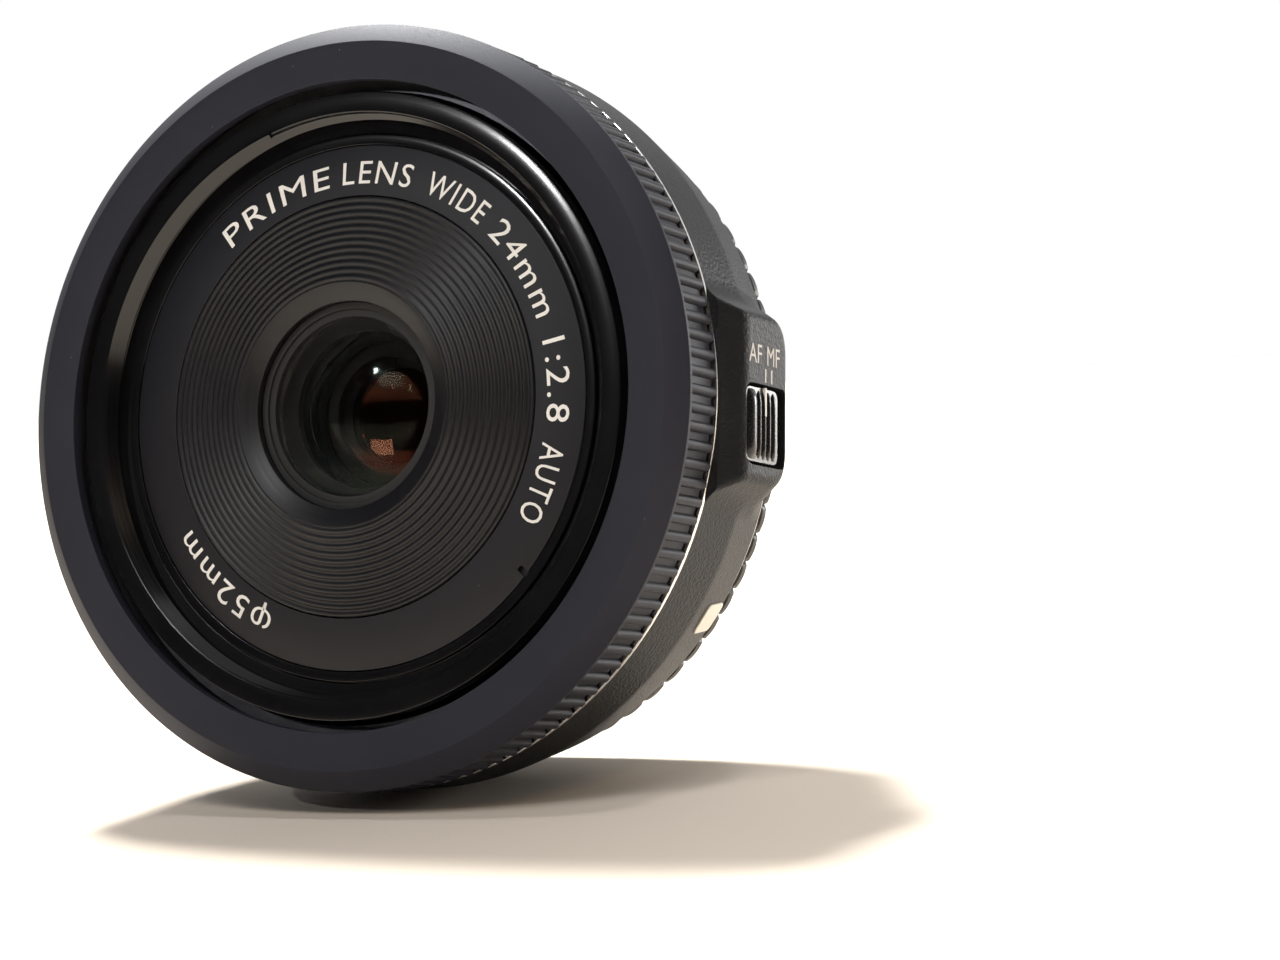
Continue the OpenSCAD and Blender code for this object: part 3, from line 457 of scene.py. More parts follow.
finishes = {
    "ring": moulded("ringPaint", (0.0088, 0.009, 0.0145), (0.013, 0.0133, 0.0205), 0.52, 0.66, grainSize=0.1,
                    grainDepth=0.004, specks=0.5, Specular_IOR_Level=0.42, Specular_Tint=(0.84, 0.88, 1.0)),
    "barrel": pebbled("barrelPebble", (0.0065, 0.0065, 0.007), (0.0105, 0.0105, 0.0108), 0.4, 0.56, pebble=0.28,
                      depth=0.06, Specular_IOR_Level=0.22, Specular_Tint=(0.82, 0.88, 1.0)),
    "trim": turnedMetal("polishedTrim", (0.78, 0.76, 0.72), (0.92, 0.9, 0.87), 0.14, 0.26),
    "gloss": turnedBlack("glossBlack", (0.0035, 0.0035, 0.004), (0.006, 0.006, 0.007), 0.09, 0.2,
                         Specular_IOR_Level=0.5),
    "knob": moulded("knobGloss", (0.004, 0.004, 0.0045), (0.007, 0.007, 0.008), 0.2, 0.3,
                    grainDepth=0.0015, specks=0.3),
    "name": moulded("nameSatin", (0.005, 0.005, 0.0075), (0.008, 0.008, 0.0115), 0.4, 0.5, grainSize=0.08,
                    grainDepth=0.002, specks=0.35, Specular_IOR_Level=0.36),
    "baffle": turnedBlack("baffleSatin", (0.0045, 0.0045, 0.006), (0.008, 0.008, 0.0098), 0.33, 0.46, ringSize=0.2,
                          depth=0.001, Specular_IOR_Level=0.36),
    "letter": moulded("letterWhite", (0.72, 0.71, 0.68), (0.82, 0.81, 0.78), 0.5, 0.65, grainDepth=0.002),
    "mark": moulded("markGrey", (0.42, 0.4, 0.37), (0.6, 0.57, 0.53), 0.5, 0.65, grainSize=0.09, grainDepth=0.003),
    "cream": moulded("creamMark", (0.74, 0.69, 0.6), (0.84, 0.8, 0.71), 0.42, 0.55, grainDepth=0.003),
    "cap": moulded("capPlastic", (0.009, 0.009, 0.0095), (0.015, 0.0145, 0.0145), 0.38, 0.55, grainSize=0.16,
                   grainDepth=0.008, specks=0.3),
    "mount": turnedMetal("mountSteel", (0.55, 0.55, 0.55), (0.72, 0.72, 0.71), 0.2, 0.36, ringSize=0.09),
    "screw": turnedMetal("screwSteel", (0.45, 0.45, 0.46), (0.62, 0.62, 0.62), 0.25, 0.4),
    "gold": turnedMetal("contactGold", (0.72, 0.46, 0.12), (0.9, 0.62, 0.2), 0.15, 0.28),
    "motor": turnedMetal("motorSteel", (0.5, 0.5, 0.51), (0.66, 0.66, 0.66), 0.28, 0.42),
    "brass": turnedMetal("brass", (0.6, 0.42, 0.16), (0.78, 0.57, 0.24), 0.2, 0.34),
    "matte": moulded("matteBlack", (0.006, 0.006, 0.006), (0.011, 0.011, 0.011), 0.55, 0.75),
    "guide": moulded("guidePlastic", (0.02, 0.02, 0.021), (0.034, 0.034, 0.036), 0.45, 0.6),
    "alloy": turnedMetal("darkAlloy", (0.09, 0.09, 0.1), (0.14, 0.14, 0.15), 0.35, 0.5),
    "gear": moulded("gearPlastic", (0.66, 0.62, 0.5), (0.8, 0.76, 0.64), 0.35, 0.5),
    "blade": turnedMetal("bladeBlack", (0.025, 0.025, 0.027), (0.045, 0.045, 0.048), 0.42, 0.6),
    "film": moulded("flexFilm", (0.4, 0.17, 0.03), (0.58, 0.28, 0.06), 0.3, 0.42, grainDepth=0.002),
    "connector": moulded("connectorPlastic", (0.6, 0.55, 0.42), (0.74, 0.68, 0.55), 0.45, 0.6),
    "board": boardGreen(),
    "glassFront": coatedGlass("glassFront", (0.75, 0.95, 0.8), 1.16),
    "glassInner": coatedGlass("glassInner", (1.0, 0.3, 0.16), 1.32),
    "glassRear": coatedGlass("glassRear", (0.7, 0.5, 1.0), 1.3),
}
print("finishes ready")


# focus ring

focusRing = dict(mouth=28.93, face=22.8, rim=34.1, bevelWide=1.76, bevelDeep=1.43, gripFrom=16.4, gripTo=20.87,
                 root=33.6, teeth=134, crest=0.56, foot=0.92, sleeveIn=31.11, sleeveOut=31.91, combFrom=12.6,
                 combTo=14.0, combTeeth=48, rimBack=21.7)


def buildFocusRing(s):
    ring = lathe("focusRingBody", rounded([
        (s["mouth"], s["face"], 0.12), (s["rim"] - s["bevelWide"], s["face"], 0.22),
        (s["rim"], s["face"] - s["bevelDeep"], 0.1), (s["rim"], s["gripTo"] + 0.12, 0.05),
        (s["root"], s["gripTo"] - 0.1),
        (s["root"], s["gripFrom"], 0.06), (s["sleeveOut"], s["gripFrom"]), (s["sleeveOut"], s["combTo"]),
        (s["sleeveIn"], s["combTo"]), (s["sleeveIn"], s["rimBack"]), (s["mouth"], s["rimBack"], 0.1)]),
        finishes["ring"], steps=402)
    half, foot, top, base = s["crest"] / 2, s["foot"] / 2, s["rim"], s["root"] - 0.15
    flank = [(base, foot + 0.06), (s["root"] + 0.05, foot), (top - 0.12, half + 0.07), (top - 0.02, half - 0.08)]
    outline = [(r, -v) for r, v in flank] + [(top, 0)] + flank[::-1]
    tooth = prism("gripTeeth", outline, s["gripFrom"], s["gripTo"] + 0.3, finishes["ring"], alongAxis, sharp=50)
    teeth = grown(tooth, pattern, sharp=50, Count=s["teeth"], First_Angle=0.0,
                  Angle_Step=2 * math.pi / s["teeth"], Length_Step=0.0, Finish=finishes["ring"])
    width = math.pi / s["combTeeth"]
    tab = [(r * math.cos(width * k), r * math.sin(width * k))
           for r, around in ((s["sleeveIn"], (-0.5, 0, 0.5)), (s["sleeveOut"], (0.5, 0, -0.5))) for k in around]
    comb = prism("combTab", tab, s["combFrom"], s["combTo"] + 0.1, finishes["ring"], alongAxis)
    comb = grown(comb, pattern, Count=s["combTeeth"], First_Angle=width, Angle_Step=2 * math.pi / s["combTeeth"],
                 Length_Step=0.0, Finish=finishes["ring"])
    place(joined("focusRing", [ring, teeth, comb]), "focus_ring", "ring_plastic", "focus_ring")


buildFocusRing(focusRing)
print("focus ring")


# bright trim ring

trimRing = dict(inner=32.31, outer=33.96, low=15.71, high=16.13, soft=0.12)


def buildTrim(s):
    piece = lathe("trimRing", rounded([(s["inner"], s["low"], 0.05), (s["outer"], s["low"], s["soft"]),
                                       (s["outer"], s["high"], s["soft"]), (s["inner"], s["high"], 0.05)]),
                  finishes["trim"], steps=360)
    place(piece, "barrel", "polished_trim", "trim_ring")


buildTrim(trimRing)
print("trim ring")


# outer barrel with its switch pad; the window is where the knob slides

barrel = dict(low=1.25, high=15.7, tail=32.2, crease=8.7, wide=33.76, innerTail=31.15, inner=32.21, innerCrease=8.4,
              lip=0.16, padX=35.61, padHalf=7.2, padFront=13.8, padBack=5.6, padSpan=18, fillet=1.1, rearCorner=2.6,
              edge=0.45)
window = dict(low=5.64, high=13.74, across=-2.3, height=7.1, floorX=34.26, corner=1.3, stem=2.3, stemLow=7.34,
              stemHigh=10.84)


def softMax(a, b, k):
    # the larger of two values, blended over the width k where they meet
    return np.maximum(a, b) + np.maximum(k - np.abs(a - b), 0) ** 2 / (4 * k)


def barrelSkin(s, h):
    # radius at each height: the rear cone, the straight part and the rounded ends
    cone = s["tail"] + (h - s["low"]) * (s["wide"] - s["tail"]) / (s["crease"] - s["low"])
    r = -softMax(-cone, np.full_like(h, -s["wide"]), 0.1)
    for edge in (s["high"] - h, h - s["low"]):
        r = r - s["lip"] * (1 - np.sqrt(np.clip(1 - np.clip(1 - edge / s["lip"], 0, 1) ** 2, 0, 1)))
    return r


def padded(s, r, a, h, skin):
    # below zero inside the barrel or its pad, whose four sloped walls are given as planes
    x, w = r * np.cos(a), np.abs(r * np.sin(a))
    side = 0.496 * (x - s["padX"]) + 0.868 * (w - s["padHalf"])
    front = 0.726 * (x - s["padX"]) + 0.688 * (h - s["padFront"])
    rear = 0.578 * (x - s["padX"]) - 0.816 * (h - s["padBack"])
    block = softMax(softMax(side, rear, s["rearCorner"]), front, s["edge"])
    block = softMax(block, x - s["padX"], s["edge"] * 1.3)
    return -softMax(-block, -(r - skin), s["fillet"])


def buildBarrel(s, w):
    # the surface is found along each ray from the axis by halving the span between two radii
    wide, low, high, lip = math.radians(s["padSpan"]), s["low"], s["high"], s["lip"]
    angles = np.concatenate([np.linspace(-wide, wide, 181)[:-1], np.linspace(wide, 2 * math.pi - wide, 289)[:-1]])
    heights = np.unique(np.concatenate([np.linspace(low, low + lip, 4), np.linspace(low + lip, high - lip, 104),
                                        np.linspace(high - lip, high, 4)]).round(5))
    a, h = np.meshgrid(angles, heights)
    skin = barrelSkin(s, h)
    near, far = np.full_like(h, 30.0), np.full_like(h, 37.5)
    for _ in range(26):
        mid = (near + far) / 2
        inside = padded(s, mid, a, h, skin) < 0
        near, far = np.where(inside, mid, near), np.where(inside, far, mid)
    r = np.where(np.abs(np.angle(np.exp(1j * a))) > math.radians(s["padSpan"] - 0.5), skin, (near + far) / 2)
    rings = [np.stack([r[i] * np.cos(angles), -h[i], r[i] * np.sin(angles)], 1) for i in range(len(heights))]
    for radius, height in ((s["inner"], s["high"]), (s["inner"], s["innerCrease"]), (s["innerTail"], s["low"])):
        rings.append(np.stack([radius * np.cos(angles), np.full(len(angles), -height), radius * np.sin(angles)], 1))
    faces = tubeFaces(len(rings), len(angles))
    piece = meshObject("outerBarrel", np.concatenate(rings), faces, finishes["barrel"])
    opening = box(w["across"] - w["height"] / 2, w["across"] + w["height"] / 2, w["low"], w["high"], w["corner"])
    hole = prism("windowTool", rounded(opening, 6), w["floorX"], 38, finishes["barrel"], fromSide)
    stem = box(w["across"] - w["stem"] / 2, w["across"] + w["stem"] / 2, w["stemLow"], w["stemHigh"])
    slot = prism("stemTool", stem, 30, 37, finishes["barrel"], fromSide)
    mesh = cutBy(piece, (hole, slot))
    place(finishMesh("outerBarrel", mesh, finishes["barrel"], sharp=38), "barrel", "barrel_plastic", "outer_barrel")


buildBarrel(barrel, window)
print("outer barrel")


# switch knob and the marks round it

knob = dict(low=6.99, high=13.59, across=-2.3, half=3.4, backX=34.36, faceX=35.4, corner=1.0, ribs=4, ribFirst=8.1,
            ribStep=-0.95, ribWide=0.7, ribTop=35.66, bigRib=12.35, bigWide=1.7, bigTop=35.84, stemInX=31.96, stem=2.0,
            stemMid=9.69, lineAt=10.0, lineTo=1.0, lineFrom=-1.5, lineHalf=0.13)


def buildKnob(s):
    face = finishes["knob"]
    across, half = s["across"], s["half"]
    plate = rounded(box(across - half, across + half, s["low"], s["high"], s["corner"]), 6)
    body = prism("knobBody", plate, s["backX"], s["faceX"], face, fromSide, chamfer=0.22, sharp=40)
    length, rows = half - 0.35, 13
    spots = [(-1.0, 0.0), (-0.72, 0.62), (-0.35, 0.93), (0, 1), (0.35, 0.93), (0.72, 0.62), (1.0, 0.0)]

    def ribAt(height, wide, top):
        # a rounded ridge across the knob, sunk a little into its face
        verts, m, foot = [], len(spots), s["faceX"] - 0.08
        for i in range(rows):
            t = -1 + 2 * i / (rows - 1)
            tall = math.sqrt(max(1 - abs(t) ** 6, 0.02))
            verts += [(foot + (top - foot) * v * tall, -(height + u * wide / 2), across + t * length) for u, v in spots]
        faces = [(i * m + k, i * m + k + 1, (i + 1) * m + k + 1, (i + 1) * m + k)
                 for i in range(rows - 1) for k in range(m - 1)]
        faces += [(i * m, (i + 1) * m, (i + 1) * m + m - 1, i * m + m - 1) for i in range(rows - 1)]
        faces += [tuple(range(m)), tuple(range((rows - 1) * m, rows * m))]
        return meshObject("knobRib", verts, faces, face, 50)
    ribs = grown(ribAt(s["ribFirst"], s["ribWide"], s["ribTop"]), pattern, sharp=50, Count=s["ribs"], First_Angle=0.0,
                 Angle_Step=0.0, Length_Step=s["ribStep"] * mm, Finish=face)
    q = s["stem"] / 2
    stem = prism("knobStem", box(across - q, across + q, s["stemMid"] - q, s["stemMid"] + q),
                 s["stemInX"], s["backX"] + 0.2, face, fromSide)
    thumb = ribAt(s["bigRib"], s["bigWide"], s["bigTop"])
    place(joined("switchKnob", [body, ribs, thumb, stem]), "switch_knob", "gloss_black", "switch_knob")
    bar = box(s["lineFrom"], s["lineTo"], s["lineAt"] - s["lineHalf"], s["lineAt"] + s["lineHalf"], 0.1)
    line = prism("knobLine", rounded(bar), s["ribTop"] - 0.3, s["ribTop"] + 0.012, finishes["letter"], fromSide)
    place(line, "switch_knob", "gloss_black")


buildKnob(knob)


def lettering(text, size, thick, gap=1.0):
    # flat closed letters as points and faces, with capitals of the given height
    curve = bpy.data.curves.new("letters", "FONT")
    curve.body, curve.size, curve.extrude, curve.resolution_u = text, 1.0, 0.01, 3
    curve.space_character = gap
    holder = bpy.data.objects.new("letters", curve)
    bpy.context.scene.collection.objects.link(holder)
    mesh = bpy.data.meshes.new_from_object(holder.evaluated_get(bpy.context.evaluated_depsgraph_get()))
    bpy.data.objects.remove(holder)
    co = np.array([v.co for v in mesh.vertices], float)
    faces = [tuple(p.vertices) for p in mesh.polygons]
    bpy.data.meshes.remove(mesh)
    fontCapHeight = 0.729
    co[:, :2] *= size / fontCapHeight
    co[:, 2] = np.sign(co[:, 2]) * thick / 2
    return co, faces


marks = dict(faceX=35.61, letters=(("AF", 12.0), ("MF", 8.45)), size=1.75, base=3.0, width=2.5, lineTop=2.65,
             lineLow=1.45, lineHalf=0.13, lines=(10.0, 8.8))


def buildMarks(s):
    pieces = []
    for text, at in s["letters"]:
        co, faces = lettering(text, s["size"], 0.03)
        span = co[:, 0].max() - co[:, 0].min()
        x = (co[:, 0] - co[:, 0].min()) / span * s["width"] - s["width"] / 2
        verts = [(s["faceX"] + 0.005 + t, -(at - u), s["base"] + v) for u, v, t in zip(x, co[:, 1], co[:, 2])]
        pieces.append(meshObject("mark" + text, verts, faces, finishes["mark"]))
    for at in s["lines"]:
        bar = box(s["lineLow"], s["lineTop"], at - s["lineHalf"], at + s["lineHalf"])
        pieces.append(prism("markLine", bar, s["faceX"] - 0.01, s["faceX"] + 0.02, finishes["mark"], fromSide))
    place(joined("switchMarks", pieces), "barrel", "index_white")


buildMarks(marks)

mountMark = dict(angle=-34.3, wide=3.0, low=1.55, high=5.9, corner=0.7, slope=1.56 / 7.45, sunk=-0.3, proud=0.15)


def buildMountMark(s):
    outline = rounded(box(-s["wide"] / 2, s["wide"] / 2, s["low"], s["high"], s["corner"]), 5)

    def onTaper(u, v, t):
        r = barrel["tail"] + (v - barrel["low"]) * s["slope"] + t
        return polar(r, s["angle"] + math.degrees(u / r), v)
    mark = prism("mountMark", outline, s["sunk"], s["proud"], finishes["cream"], onTaper, chamfer=0.06)
    place(mark, "barrel", "index_white", "mount_index")


buildMountMark(mountMark)
print("switch and marks")


# moving barrel with the filter thread

frontBarrel = dict(outer=27.9, rim=22.2, wall=26.0, threadLow=19.9, step=24.55, stepLow=19.55, inner=24.4, shelf=20.2,
                   seat=23.55, floor=19.2, hole=12.9, floorBack=18.3, skirtIn=26.4, skirt=11.2, pitch=0.75, turns=2.7,
                   threadFrom=20.12, ridge=0.36, flag=(21.7, 22.3), flagHalf=0.8, flagLow=5.3, flagHigh=18.35,
                   flagAngle=40)


def buildFrontBarrel(s):
    body = lathe("frontBarrelBody", rounded([
        (s["outer"], s["skirt"]), (s["outer"], s["rim"], 0.1), (s["wall"] + 0.12, s["rim"], 0.16),
        (s["wall"], s["rim"] - 0.3, 0.05),
        (s["wall"], s["threadLow"], 0.12), (s["step"], s["threadLow"], 0.08), (s["step"], s["stepLow"], 0.03),
        (s["inner"], s["stepLow"], 0.03), (s["inner"], s["shelf"], 0.06), (s["seat"], s["shelf"], 0.06),
        (s["seat"], s["floor"]), (s["hole"], s["floor"]), (s["hole"], s["floorBack"]),
        (s["skirtIn"], s["floorBack"]), (s["skirtIn"], s["skirt"])]),
        finishes["gloss"], steps=320)
    base = bpy.data.objects.new("filterThread", bpy.data.meshes.new("filterThread"))
    bpy.context.scene.collection.objects.link(base)
    thread = grown(base, threadTree(), sharp=25, Radius=(s["wall"] + 0.02) * mm, Pitch=s["pitch"] * mm,
                   Turns=s["turns"], Start=-s["threadFrom"] * mm, Ridge=s["ridge"] * mm, Finish=finishes["gloss"])
    flag = prism("sensorFlag", box(*s["flag"], -s["flagHalf"], s["flagHalf"]), s["flagLow"], s["flagHigh"],
                 finishes["gloss"], turnedBy(s["flagAngle"]))
    place(joined("frontBarrel", [body, thread, flag]), "focus_group", "gloss_black", "front_barrel")


buildFrontBarrel(frontBarrel)
print("front barrel")


# name ring

# each word has the angles at which it starts and ends
nameRing = dict(outer=23.45, inner=18.85, edge=20.15, rise=0.61, low=19.21, baseline=19.95, capHeight=2.2,
                words=(("PRIME", 131.0, 97.6), ("LENS", 93.6, 73.6), ("WIDE", 68.6, 50.2), ("24mm", 46.2, 19.6),
                       ("1:2.8", 13.6, -6.4), ("AUTO", -11.6, -31.0), ("φ52mm", -113.6, -148.2)),
                notch=-40.7, notchWide=0.6, notchDeep=0.9)


def buildNameRing(s):
    slope = s["rise"] / (s["outer"] - s["inner"])
    ring = lathe("nameRing", rounded([(s["outer"], s["low"]), (s["outer"], s["edge"], 0.06),
                                      (s["inner"], s["edge"] + s["rise"], 0.05), (s["inner"], s["low"])]),
                 finishes["name"], steps=300)
    bottom, side = s["outer"] - s["notchDeep"], s["notchWide"] / 2
    notch = rounded([(bottom, -side, 0.25), (s["outer"] + 1, -side), (s["outer"] + 1, side), (bottom, side, 0.25)], 5)
    tool = prism("notchTool", notch, s["edge"] - 0.35, s["edge"] + 2, finishes["name"], turnedBy(s["notch"]))
    mesh = cutBy(ring, (tool,))
    place(finishMesh("nameRing", mesh, finishes["name"]), "focus_group", "name_satin", "name_ring")
    words = []
    for text, start, end in s["words"]:
        co, faces = lettering(text, s["capHeight"], 0.03, 1.16)
        part = (co[:, 0] - co[:, 0].min()) / (co[:, 0].max() - co[:, 0].min())
        verts = []
        for t, v, z in zip(part, co[:, 1], co[:, 2]):
            r = s["baseline"] + v
            verts.append(polar(r, start + (end - start) * t, s["edge"] + (s["outer"] - r) * slope + 0.006 + z))
        words.append(meshObject("word", verts, faces, finishes["letter"]))
    place(joined("nameLetters", words), "focus_group", "name_satin")


buildNameRing(nameRing)
print("name ring")


# ribbed light-trap cone

frontBaffle = dict(outer=18.75, start=20.78, peak=10.86, peakHeight=22.44, lip=9.27, lipHeight=21.65, ribs=12,
                   ribUp=0.1, ribDown=0.09, under=21.0, seat=16.45, seatHeight=20.3, low=19.21)


def buildBaffle(s):
    outline = [(s["outer"], s["low"]), (s["outer"], s["start"])]
    dr, dz = (s["outer"] - s["peak"]) / s["ribs"], (s["peakHeight"] - s["start"]) / s["ribs"]
    up, down = s["ribUp"], s["ribDown"]
    ribShape = ((0.0, -0.02), (0.14, up * 0.75), (0.3, up), (0.46, up * 0.72), (0.62, -down * 0.5), (0.74, -down),
                (0.9, -down * 0.8))
    for i in range(s["ribs"]):
        for part, lift in ribShape if i else ribShape[1:]:
            outline.append((s["outer"] - (i + part) * dr, s["start"] + (i + part) * dz + lift))
    corner = rounded([(s["peak"] + 0.4, s["peakHeight"] - 0.1), (s["peak"], s["peakHeight"], 0.1),
                      (s["lip"], s["lipHeight"], 0.12), (s["lip"], s["under"], 0.05), (s["peak"], s["under"]),
                      (s["seat"] - 0.8, s["seatHeight"] + 0.15),
                      (s["seat"], s["seatHeight"]), (s["seat"], s["low"])])
    piece = lathe("frontBaffle", outline + corner[1:], finishes["baffle"], steps=256, sharp=60)
    place(piece, "focus_group", "name_satin", "front_baffle")


buildBaffle(frontBaffle)
print("baffle")


def surface(vertex, curve, radius, steps=14):
    # points from the axis out to the radius; a positive curve bulges forward, a negative one is hollow, 0 is flat
    out = []
    for i in range(steps + 1):
        r = radius * math.sin(math.pi / 2 * i / steps)
        sag = 0 if curve == 0 else math.copysign(abs(curve) - math.sqrt(curve * curve - r * r), curve)
        out.append((r, vertex - sag))
    return out


# node, finish, rim radius, then the height on the axis and the curvature of the front and of the back
elements = {
    "frontElement": ("front_element", "glassFront", 8.58, (21.1, 30.0), (19.9, 9.5)),
    "secondElement": ("second_element", "glassInner", 7.58, (16.55, 30.0), (14.27, -60.0)),
    "thirdElement": ("third_element", "glassInner", 6.78, (10.6, 30.0), (7.8, -14.0)),
    "fourthElement": ("fourth_element", "glassInner", 6.78, (7.81, -14.0), (6.91, 0)),
    "fifthElement": ("fifth_element", "glassRear", 8.18, (5.8, -60.0), (3.2, -16.0)),
    "rearElement": ("rear_element", "glassRear", 10.38, (2.55, -35.0), (-0.2, -50.0)),
}


def buildGlass():
    for name, (node, finish, radius, front, back) in elements.items():
        top, under = surface(*front, radius), surface(*back, radius)
        piece = disc(name, top + under[::-1], finishes[finish], steps=128)
        place(piece, "focus_group", "coated_glass", node)


buildGlass()
print("glass")


# rear cap

rearCap = dict(outer=31.65, groove=0.55, lobes=72, front=-0.35, rimBack=-0.8, shoulder=30.0, shoulderBack=-2.4,
               waist=28.1, waistBack=-7.5, foot=27.4, back=-8.35, inner=27.6, step=-4.9, deep=26.2, floor=-6.85,
               ledge=26.0, ledgeHigh=-1.2, ledgeLow=-2.6, recess=22.0, recessDeep=0.3, middle=0.12)


def buildRearCap(s):
    def wave(angles, r, h):
        # only the rim has lobes
        if r < s["shoulder"] + 0.2:
            return np.full(len(angles), float(r))
        t = np.mod(angles * s["lobes"] / (2 * math.pi), 1) * 2 - 1
        return np.minimum(r, s["outer"] - s["groove"] * (1 - np.sqrt(np.clip(1 - np.abs(t) ** 2.6, 0, 1))))
    proud, middle = s["outer"] + 0.5, s["back"] + s["middle"]
    slope = [(proud - k * (proud - s["shoulder"]), s["rimBack"] + k * (s["shoulderBack"] - s["rimBack"]))
             for k in (0.12, 0.2, 0.3, 0.42, 0.55, 0.7)]
    outline = rounded([
        (s["inner"], s["front"], 0.12), (s["outer"] - 0.15, s["front"]), (s["outer"], s["front"] - 0.1),
        (s["outer"] + 0.1, s["rimBack"]), *slope, (s["shoulder"], s["shoulderBack"], 0.5),
        (s["waist"], s["waistBack"], 0.6), (s["foot"], s["back"], 0.35),
        (s["recess"] + 0.3, s["back"], 0.12), (s["recess"], s["back"] + s["recessDeep"], 0.12),
        (s["recess"] - 8, s["back"] + s["recessDeep"], 0.1), (s["recess"] - 8.3, middle, 0.1), (1.0, middle),
        (1.0, s["floor"]), (s["deep"], s["floor"], 0.3), (s["deep"], s["step"], 0.1), (s["inner"], s["step"], 0.1)])
    cap = lathe("capShell", outline, finishes["cap"], steps=s["lobes"] * 14, shape=wave, sharp=28)
    plug = disc("capPlug", [(0, s["floor"]), (1.01, s["floor"]), (1.01, middle), (0, middle)], finishes["cap"],
                steps=48)
    around = [math.radians(a) for a in np.linspace(-20, 20, 13)]
    ring = [(s["ledge"] * math.cos(a), s["ledge"] * math.sin(a)) for a in around]
    ring += [((s["inner"] + 0.2) * math.cos(a), (s["inner"] + 0.2) * math.sin(a)) for a in reversed(around)]
    ledge = prism("capLug", ring, s["ledgeLow"], s["ledgeHigh"], finishes["cap"], alongAxis)
    ledges = grown(ledge, pattern, Count=3, First_Angle=math.radians(15), Angle_Step=math.radians(120),
                   Length_Step=0.0, Finish=finishes["cap"])
    place(joined("rearCap", [cap, plug, ledges]), "rear_cap", "cap_plastic", "rear_cap")


buildRearCap(rearCap)
print("rear cap")


# gold contacts

contacts = dict(count=8, circle=22.5, step=7.4, radius=0.56, crown=0.25, low=-5.95, high=-4.9)


def buildContacts(s):
    dome = [(s["radius"] * k, s["low"] + s["crown"] * (1 - math.sqrt(1 - (k * 0.94) ** 2)))
            for k in (0.35, 0.6, 0.85, 1.0)]
    pin = disc("contactPin", [(0, s["low"]), *dome, (s["radius"], s["high"]), (0, s["high"])], finishes["gold"],
               steps=24)
    for v in pin.data.vertices:
        v.co.x += s["circle"] * mm
    first = math.radians(270 - (s["count"] - 1) / 2 * s["step"])
    pins = grown(pin, pattern, Count=s["count"], First_Angle=first, Angle_Step=math.radians(s["step"]),
                 Length_Step=0.0, Finish=finishes["gold"])
    place(pins, "barrel", "gold", "contact_pins")


buildContacts(contacts)
print("contacts")


# finishes of the pieces that keep their shape

kept = {
    "mount": ["mount_ring"],
    "screw": ["mount_screws", "board_screws", "cell_screws", "guide_pins"],
    "matte": ["rear_baffle", "contact_block", "front_cell", "front_retainer", "lens_spacer", "iris_base", "rear_cell",
              "rear_retainer", "control_chip", "driver_chip", "home_sensor", "ring_sensors"],
    "film": ["contact_flex"],
    "board": ["main_board", "switch_contact"],
    "connector": ["flex_connector"],
    "guide": ["guide_barrel"],
    "alloy": ["cam_ring"],
    "motor": ["focus_motor", "gear_plate", "iris_motor"],
    "brass": ["motor_pinion"],
    "gear": ["idler_gear", "output_gear", "iris_pinion"],
    "blade": ["iris_drive_ring"] + ["iris_blade_%d" % i for i in range(1, 8)],
}
for finish, nodes in kept.items():
    for name in nodes:
        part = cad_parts[name]
        if not part.material_slots:
            part.data.materials.append(finishes[finish])
        for holder in part.material_slots:
            holder.material = finishes[finish]
print("kept pieces finished")


# floor, light and camera

# the floor leans under the rim of the cap at edge, given in mm as y and z; each lamp has its place and what it faces in
# metres, its width and height, its power and its colour
studio = dict(tilt=11.0, edge=(1.1, -31.95), floorHalf=0.6, darkSide=0.56, lightSide=0.92)
lamps = {
    "key": ((-0.36, 0.2, 0.85), (0, 0, 0), 0.14, 0.14, 20.0, (1, 0.99, 0.97)),
    "topSoftbox": ((0.1, 0.2, 0.9), (0, 0.05, 0), 1.3, 1.1, 2.4, (1, 0.985, 0.96)),
    "smallLamp": ((-0.216, -0.53, 0.175), (0, -0.02, 0), 0.016, 0.016, 0.4, (1, 1, 1)),
    "frontSoft": ((0.1, -0.5, 0.4), (0, -0.02, 0), 0.3, 0.22, 1.5, (0.97, 0.98, 1)),
    "padStrip": ((0.38, 0.7, 0.09), (0.03, -0.01, 0), 0.24, 0.3, 4.5, (1, 0.99, 0.97)),
    "threadStrip": ((0.26, -0.22, 0.84), (0, -0.02, 0), 0.1, 0.08, 1.1, (0.95, 0.97, 1)),
    "warmStrip": ((0.33, -0.42, 0.28), (0, -0.02, 0), 0.05, 0.12, 0.35, (1, 0.75, 0.5)),
}
view = dict(focal=92.62, azimuth=27.83, elevation=-5.26, roll=0.40, target=(24.45, -12.0, -6.75), distance=287.6)


def buildFloor(s):
    f = Finish("floorPaper")
    tone = f.blend(f.spread(f.noise(3), 0, 1), (0.78, 0.69, 0.58), (0.8, 0.71, 0.605))
    paper = f.set(Base_Color=tone, Roughness=0.75, Normal=f.bump(f.noise(900), 0.00002))
    across = Vector((1, 0, 0))
    along = Vector((0, math.cos(math.radians(s["tilt"])), math.sin(math.radians(s["tilt"]))))
    middle = Vector((0, *s["edge"])) * mm - across.cross(along) * 0.00002
    corners = [middle + across * x * s["floorHalf"] + along * y * s["floorHalf"]
               for x, y in ((-1, -1), (1, -1), (1, 1), (-1, 1))]
    mesh = bpy.data.meshes.new("floor")
    mesh.from_pydata([tuple(c) for c in corners], [], [(0, 1, 2, 3)])
    mesh.materials.append(paper)
    floor = bpy.data.objects.new("floor", mesh)
    bpy.context.scene.collection.objects.link(floor)


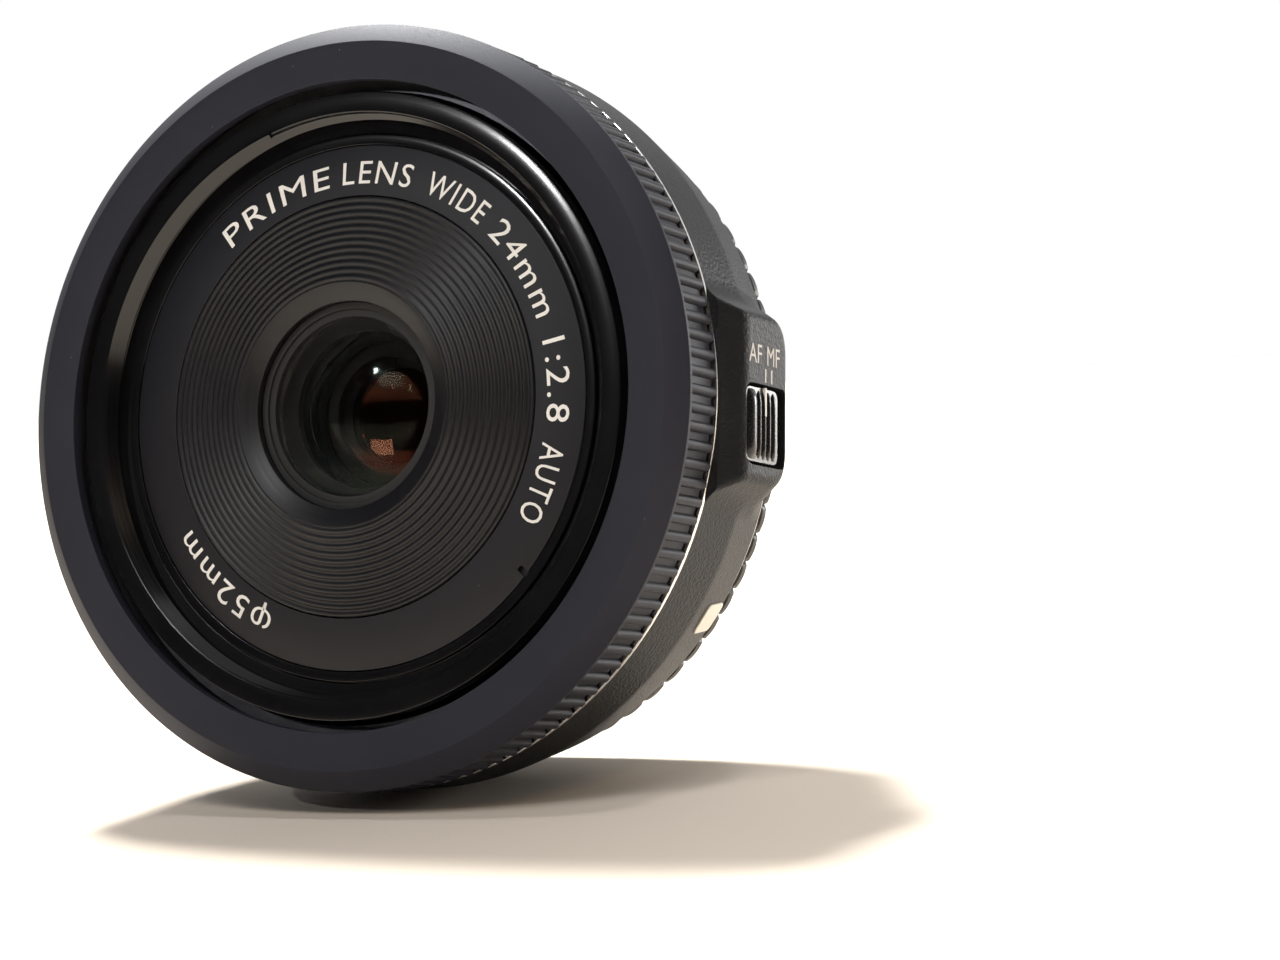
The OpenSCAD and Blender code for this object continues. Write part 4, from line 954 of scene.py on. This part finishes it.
def buildWorld(s):
    # dim in front of the lens and bright behind it; the camera itself sees plain white
    world = bpy.data.worlds.new("studio")
    bpy.context.scene.world = world
    world.use_nodes = True
    nodes, links = world.node_tree.nodes, world.node_tree.links
    where, parts = nodes.new("ShaderNodeTexCoord"), nodes.new("ShaderNodeSeparateXYZ")
    links.new(where.outputs["Generated"], parts.inputs[0])
    ramp = nodes.new("ShaderNodeValToRGB")
    dark, light = ramp.color_ramp.elements
    dark.position, dark.color = s["darkSide"], (0.014, 0.014, 0.017, 1)
    light.position, light.color = s["lightSide"], (0.75, 0.75, 0.75, 1)
    half = nodes.new("ShaderNodeMath")
    half.operation = "MULTIPLY_ADD"
    half.inputs[1].default_value, half.inputs[2].default_value = 0.5, 0.5
    links.new(parts.outputs["Y"], half.inputs[0])
    links.new(half.outputs[0], ramp.inputs["Fac"])
    path, pick = nodes.new("ShaderNodeLightPath"), nodes.new("ShaderNodeMix")
    pick.data_type = "RGBA"
    links.new(path.outputs["Is Camera Ray"], pick.inputs[0])
    links.new(ramp.outputs["Color"], pick.inputs[6])
    pick.inputs[7].default_value = (1, 1, 1, 1)
    links.new(pick.outputs[2], nodes["Background"].inputs["Color"])


def buildLamps():
    for name, (at, toward, width, height, power, colour) in lamps.items():
        data = bpy.data.lights.new(name, "AREA")
        data.shape, data.size, data.size_y, data.energy, data.color = "RECTANGLE", width, height, power, colour
        lamp = bpy.data.objects.new(name, data)
        bpy.context.scene.collection.objects.link(lamp)
        lamp.location = at
        lamp.rotation_euler = (Vector(toward) - Vector(at)).to_track_quat("-Z", "Y").to_euler()


def buildCamera(s):
    data = bpy.data.cameras.new("camera")
    data.sensor_width, data.lens, data.clip_start = 36.0, s["focal"], 0.01
    camera = bpy.data.objects.new("camera", data)
    bpy.context.scene.collection.objects.link(camera)
    az, el, roll = (math.radians(s[key]) for key in ("azimuth", "elevation", "roll"))
    backward = Vector((math.sin(az) * math.cos(el), -math.cos(az) * math.cos(el), math.sin(el)))
    right = Vector((0, 0, 1)).cross(backward).normalized()
    upward = backward.cross(right)
    rollRight = math.cos(roll) * right + math.sin(roll) * upward
    rollUp = -math.sin(roll) * right + math.cos(roll) * upward
    eye = Vector(s["target"]) * mm + backward * s["distance"] * mm
    turn = Matrix((rollRight, rollUp, backward)).transposed().to_4x4()
    camera.matrix_world = Matrix.Translation(eye) @ turn
    bpy.context.scene.camera = camera
    bpy.context.scene.view_settings.view_transform = "Standard"


buildFloor(studio)
buildWorld(studio)
buildLamps()
buildCamera(view)
print("studio ready")

bpy.context.view_layer.update()
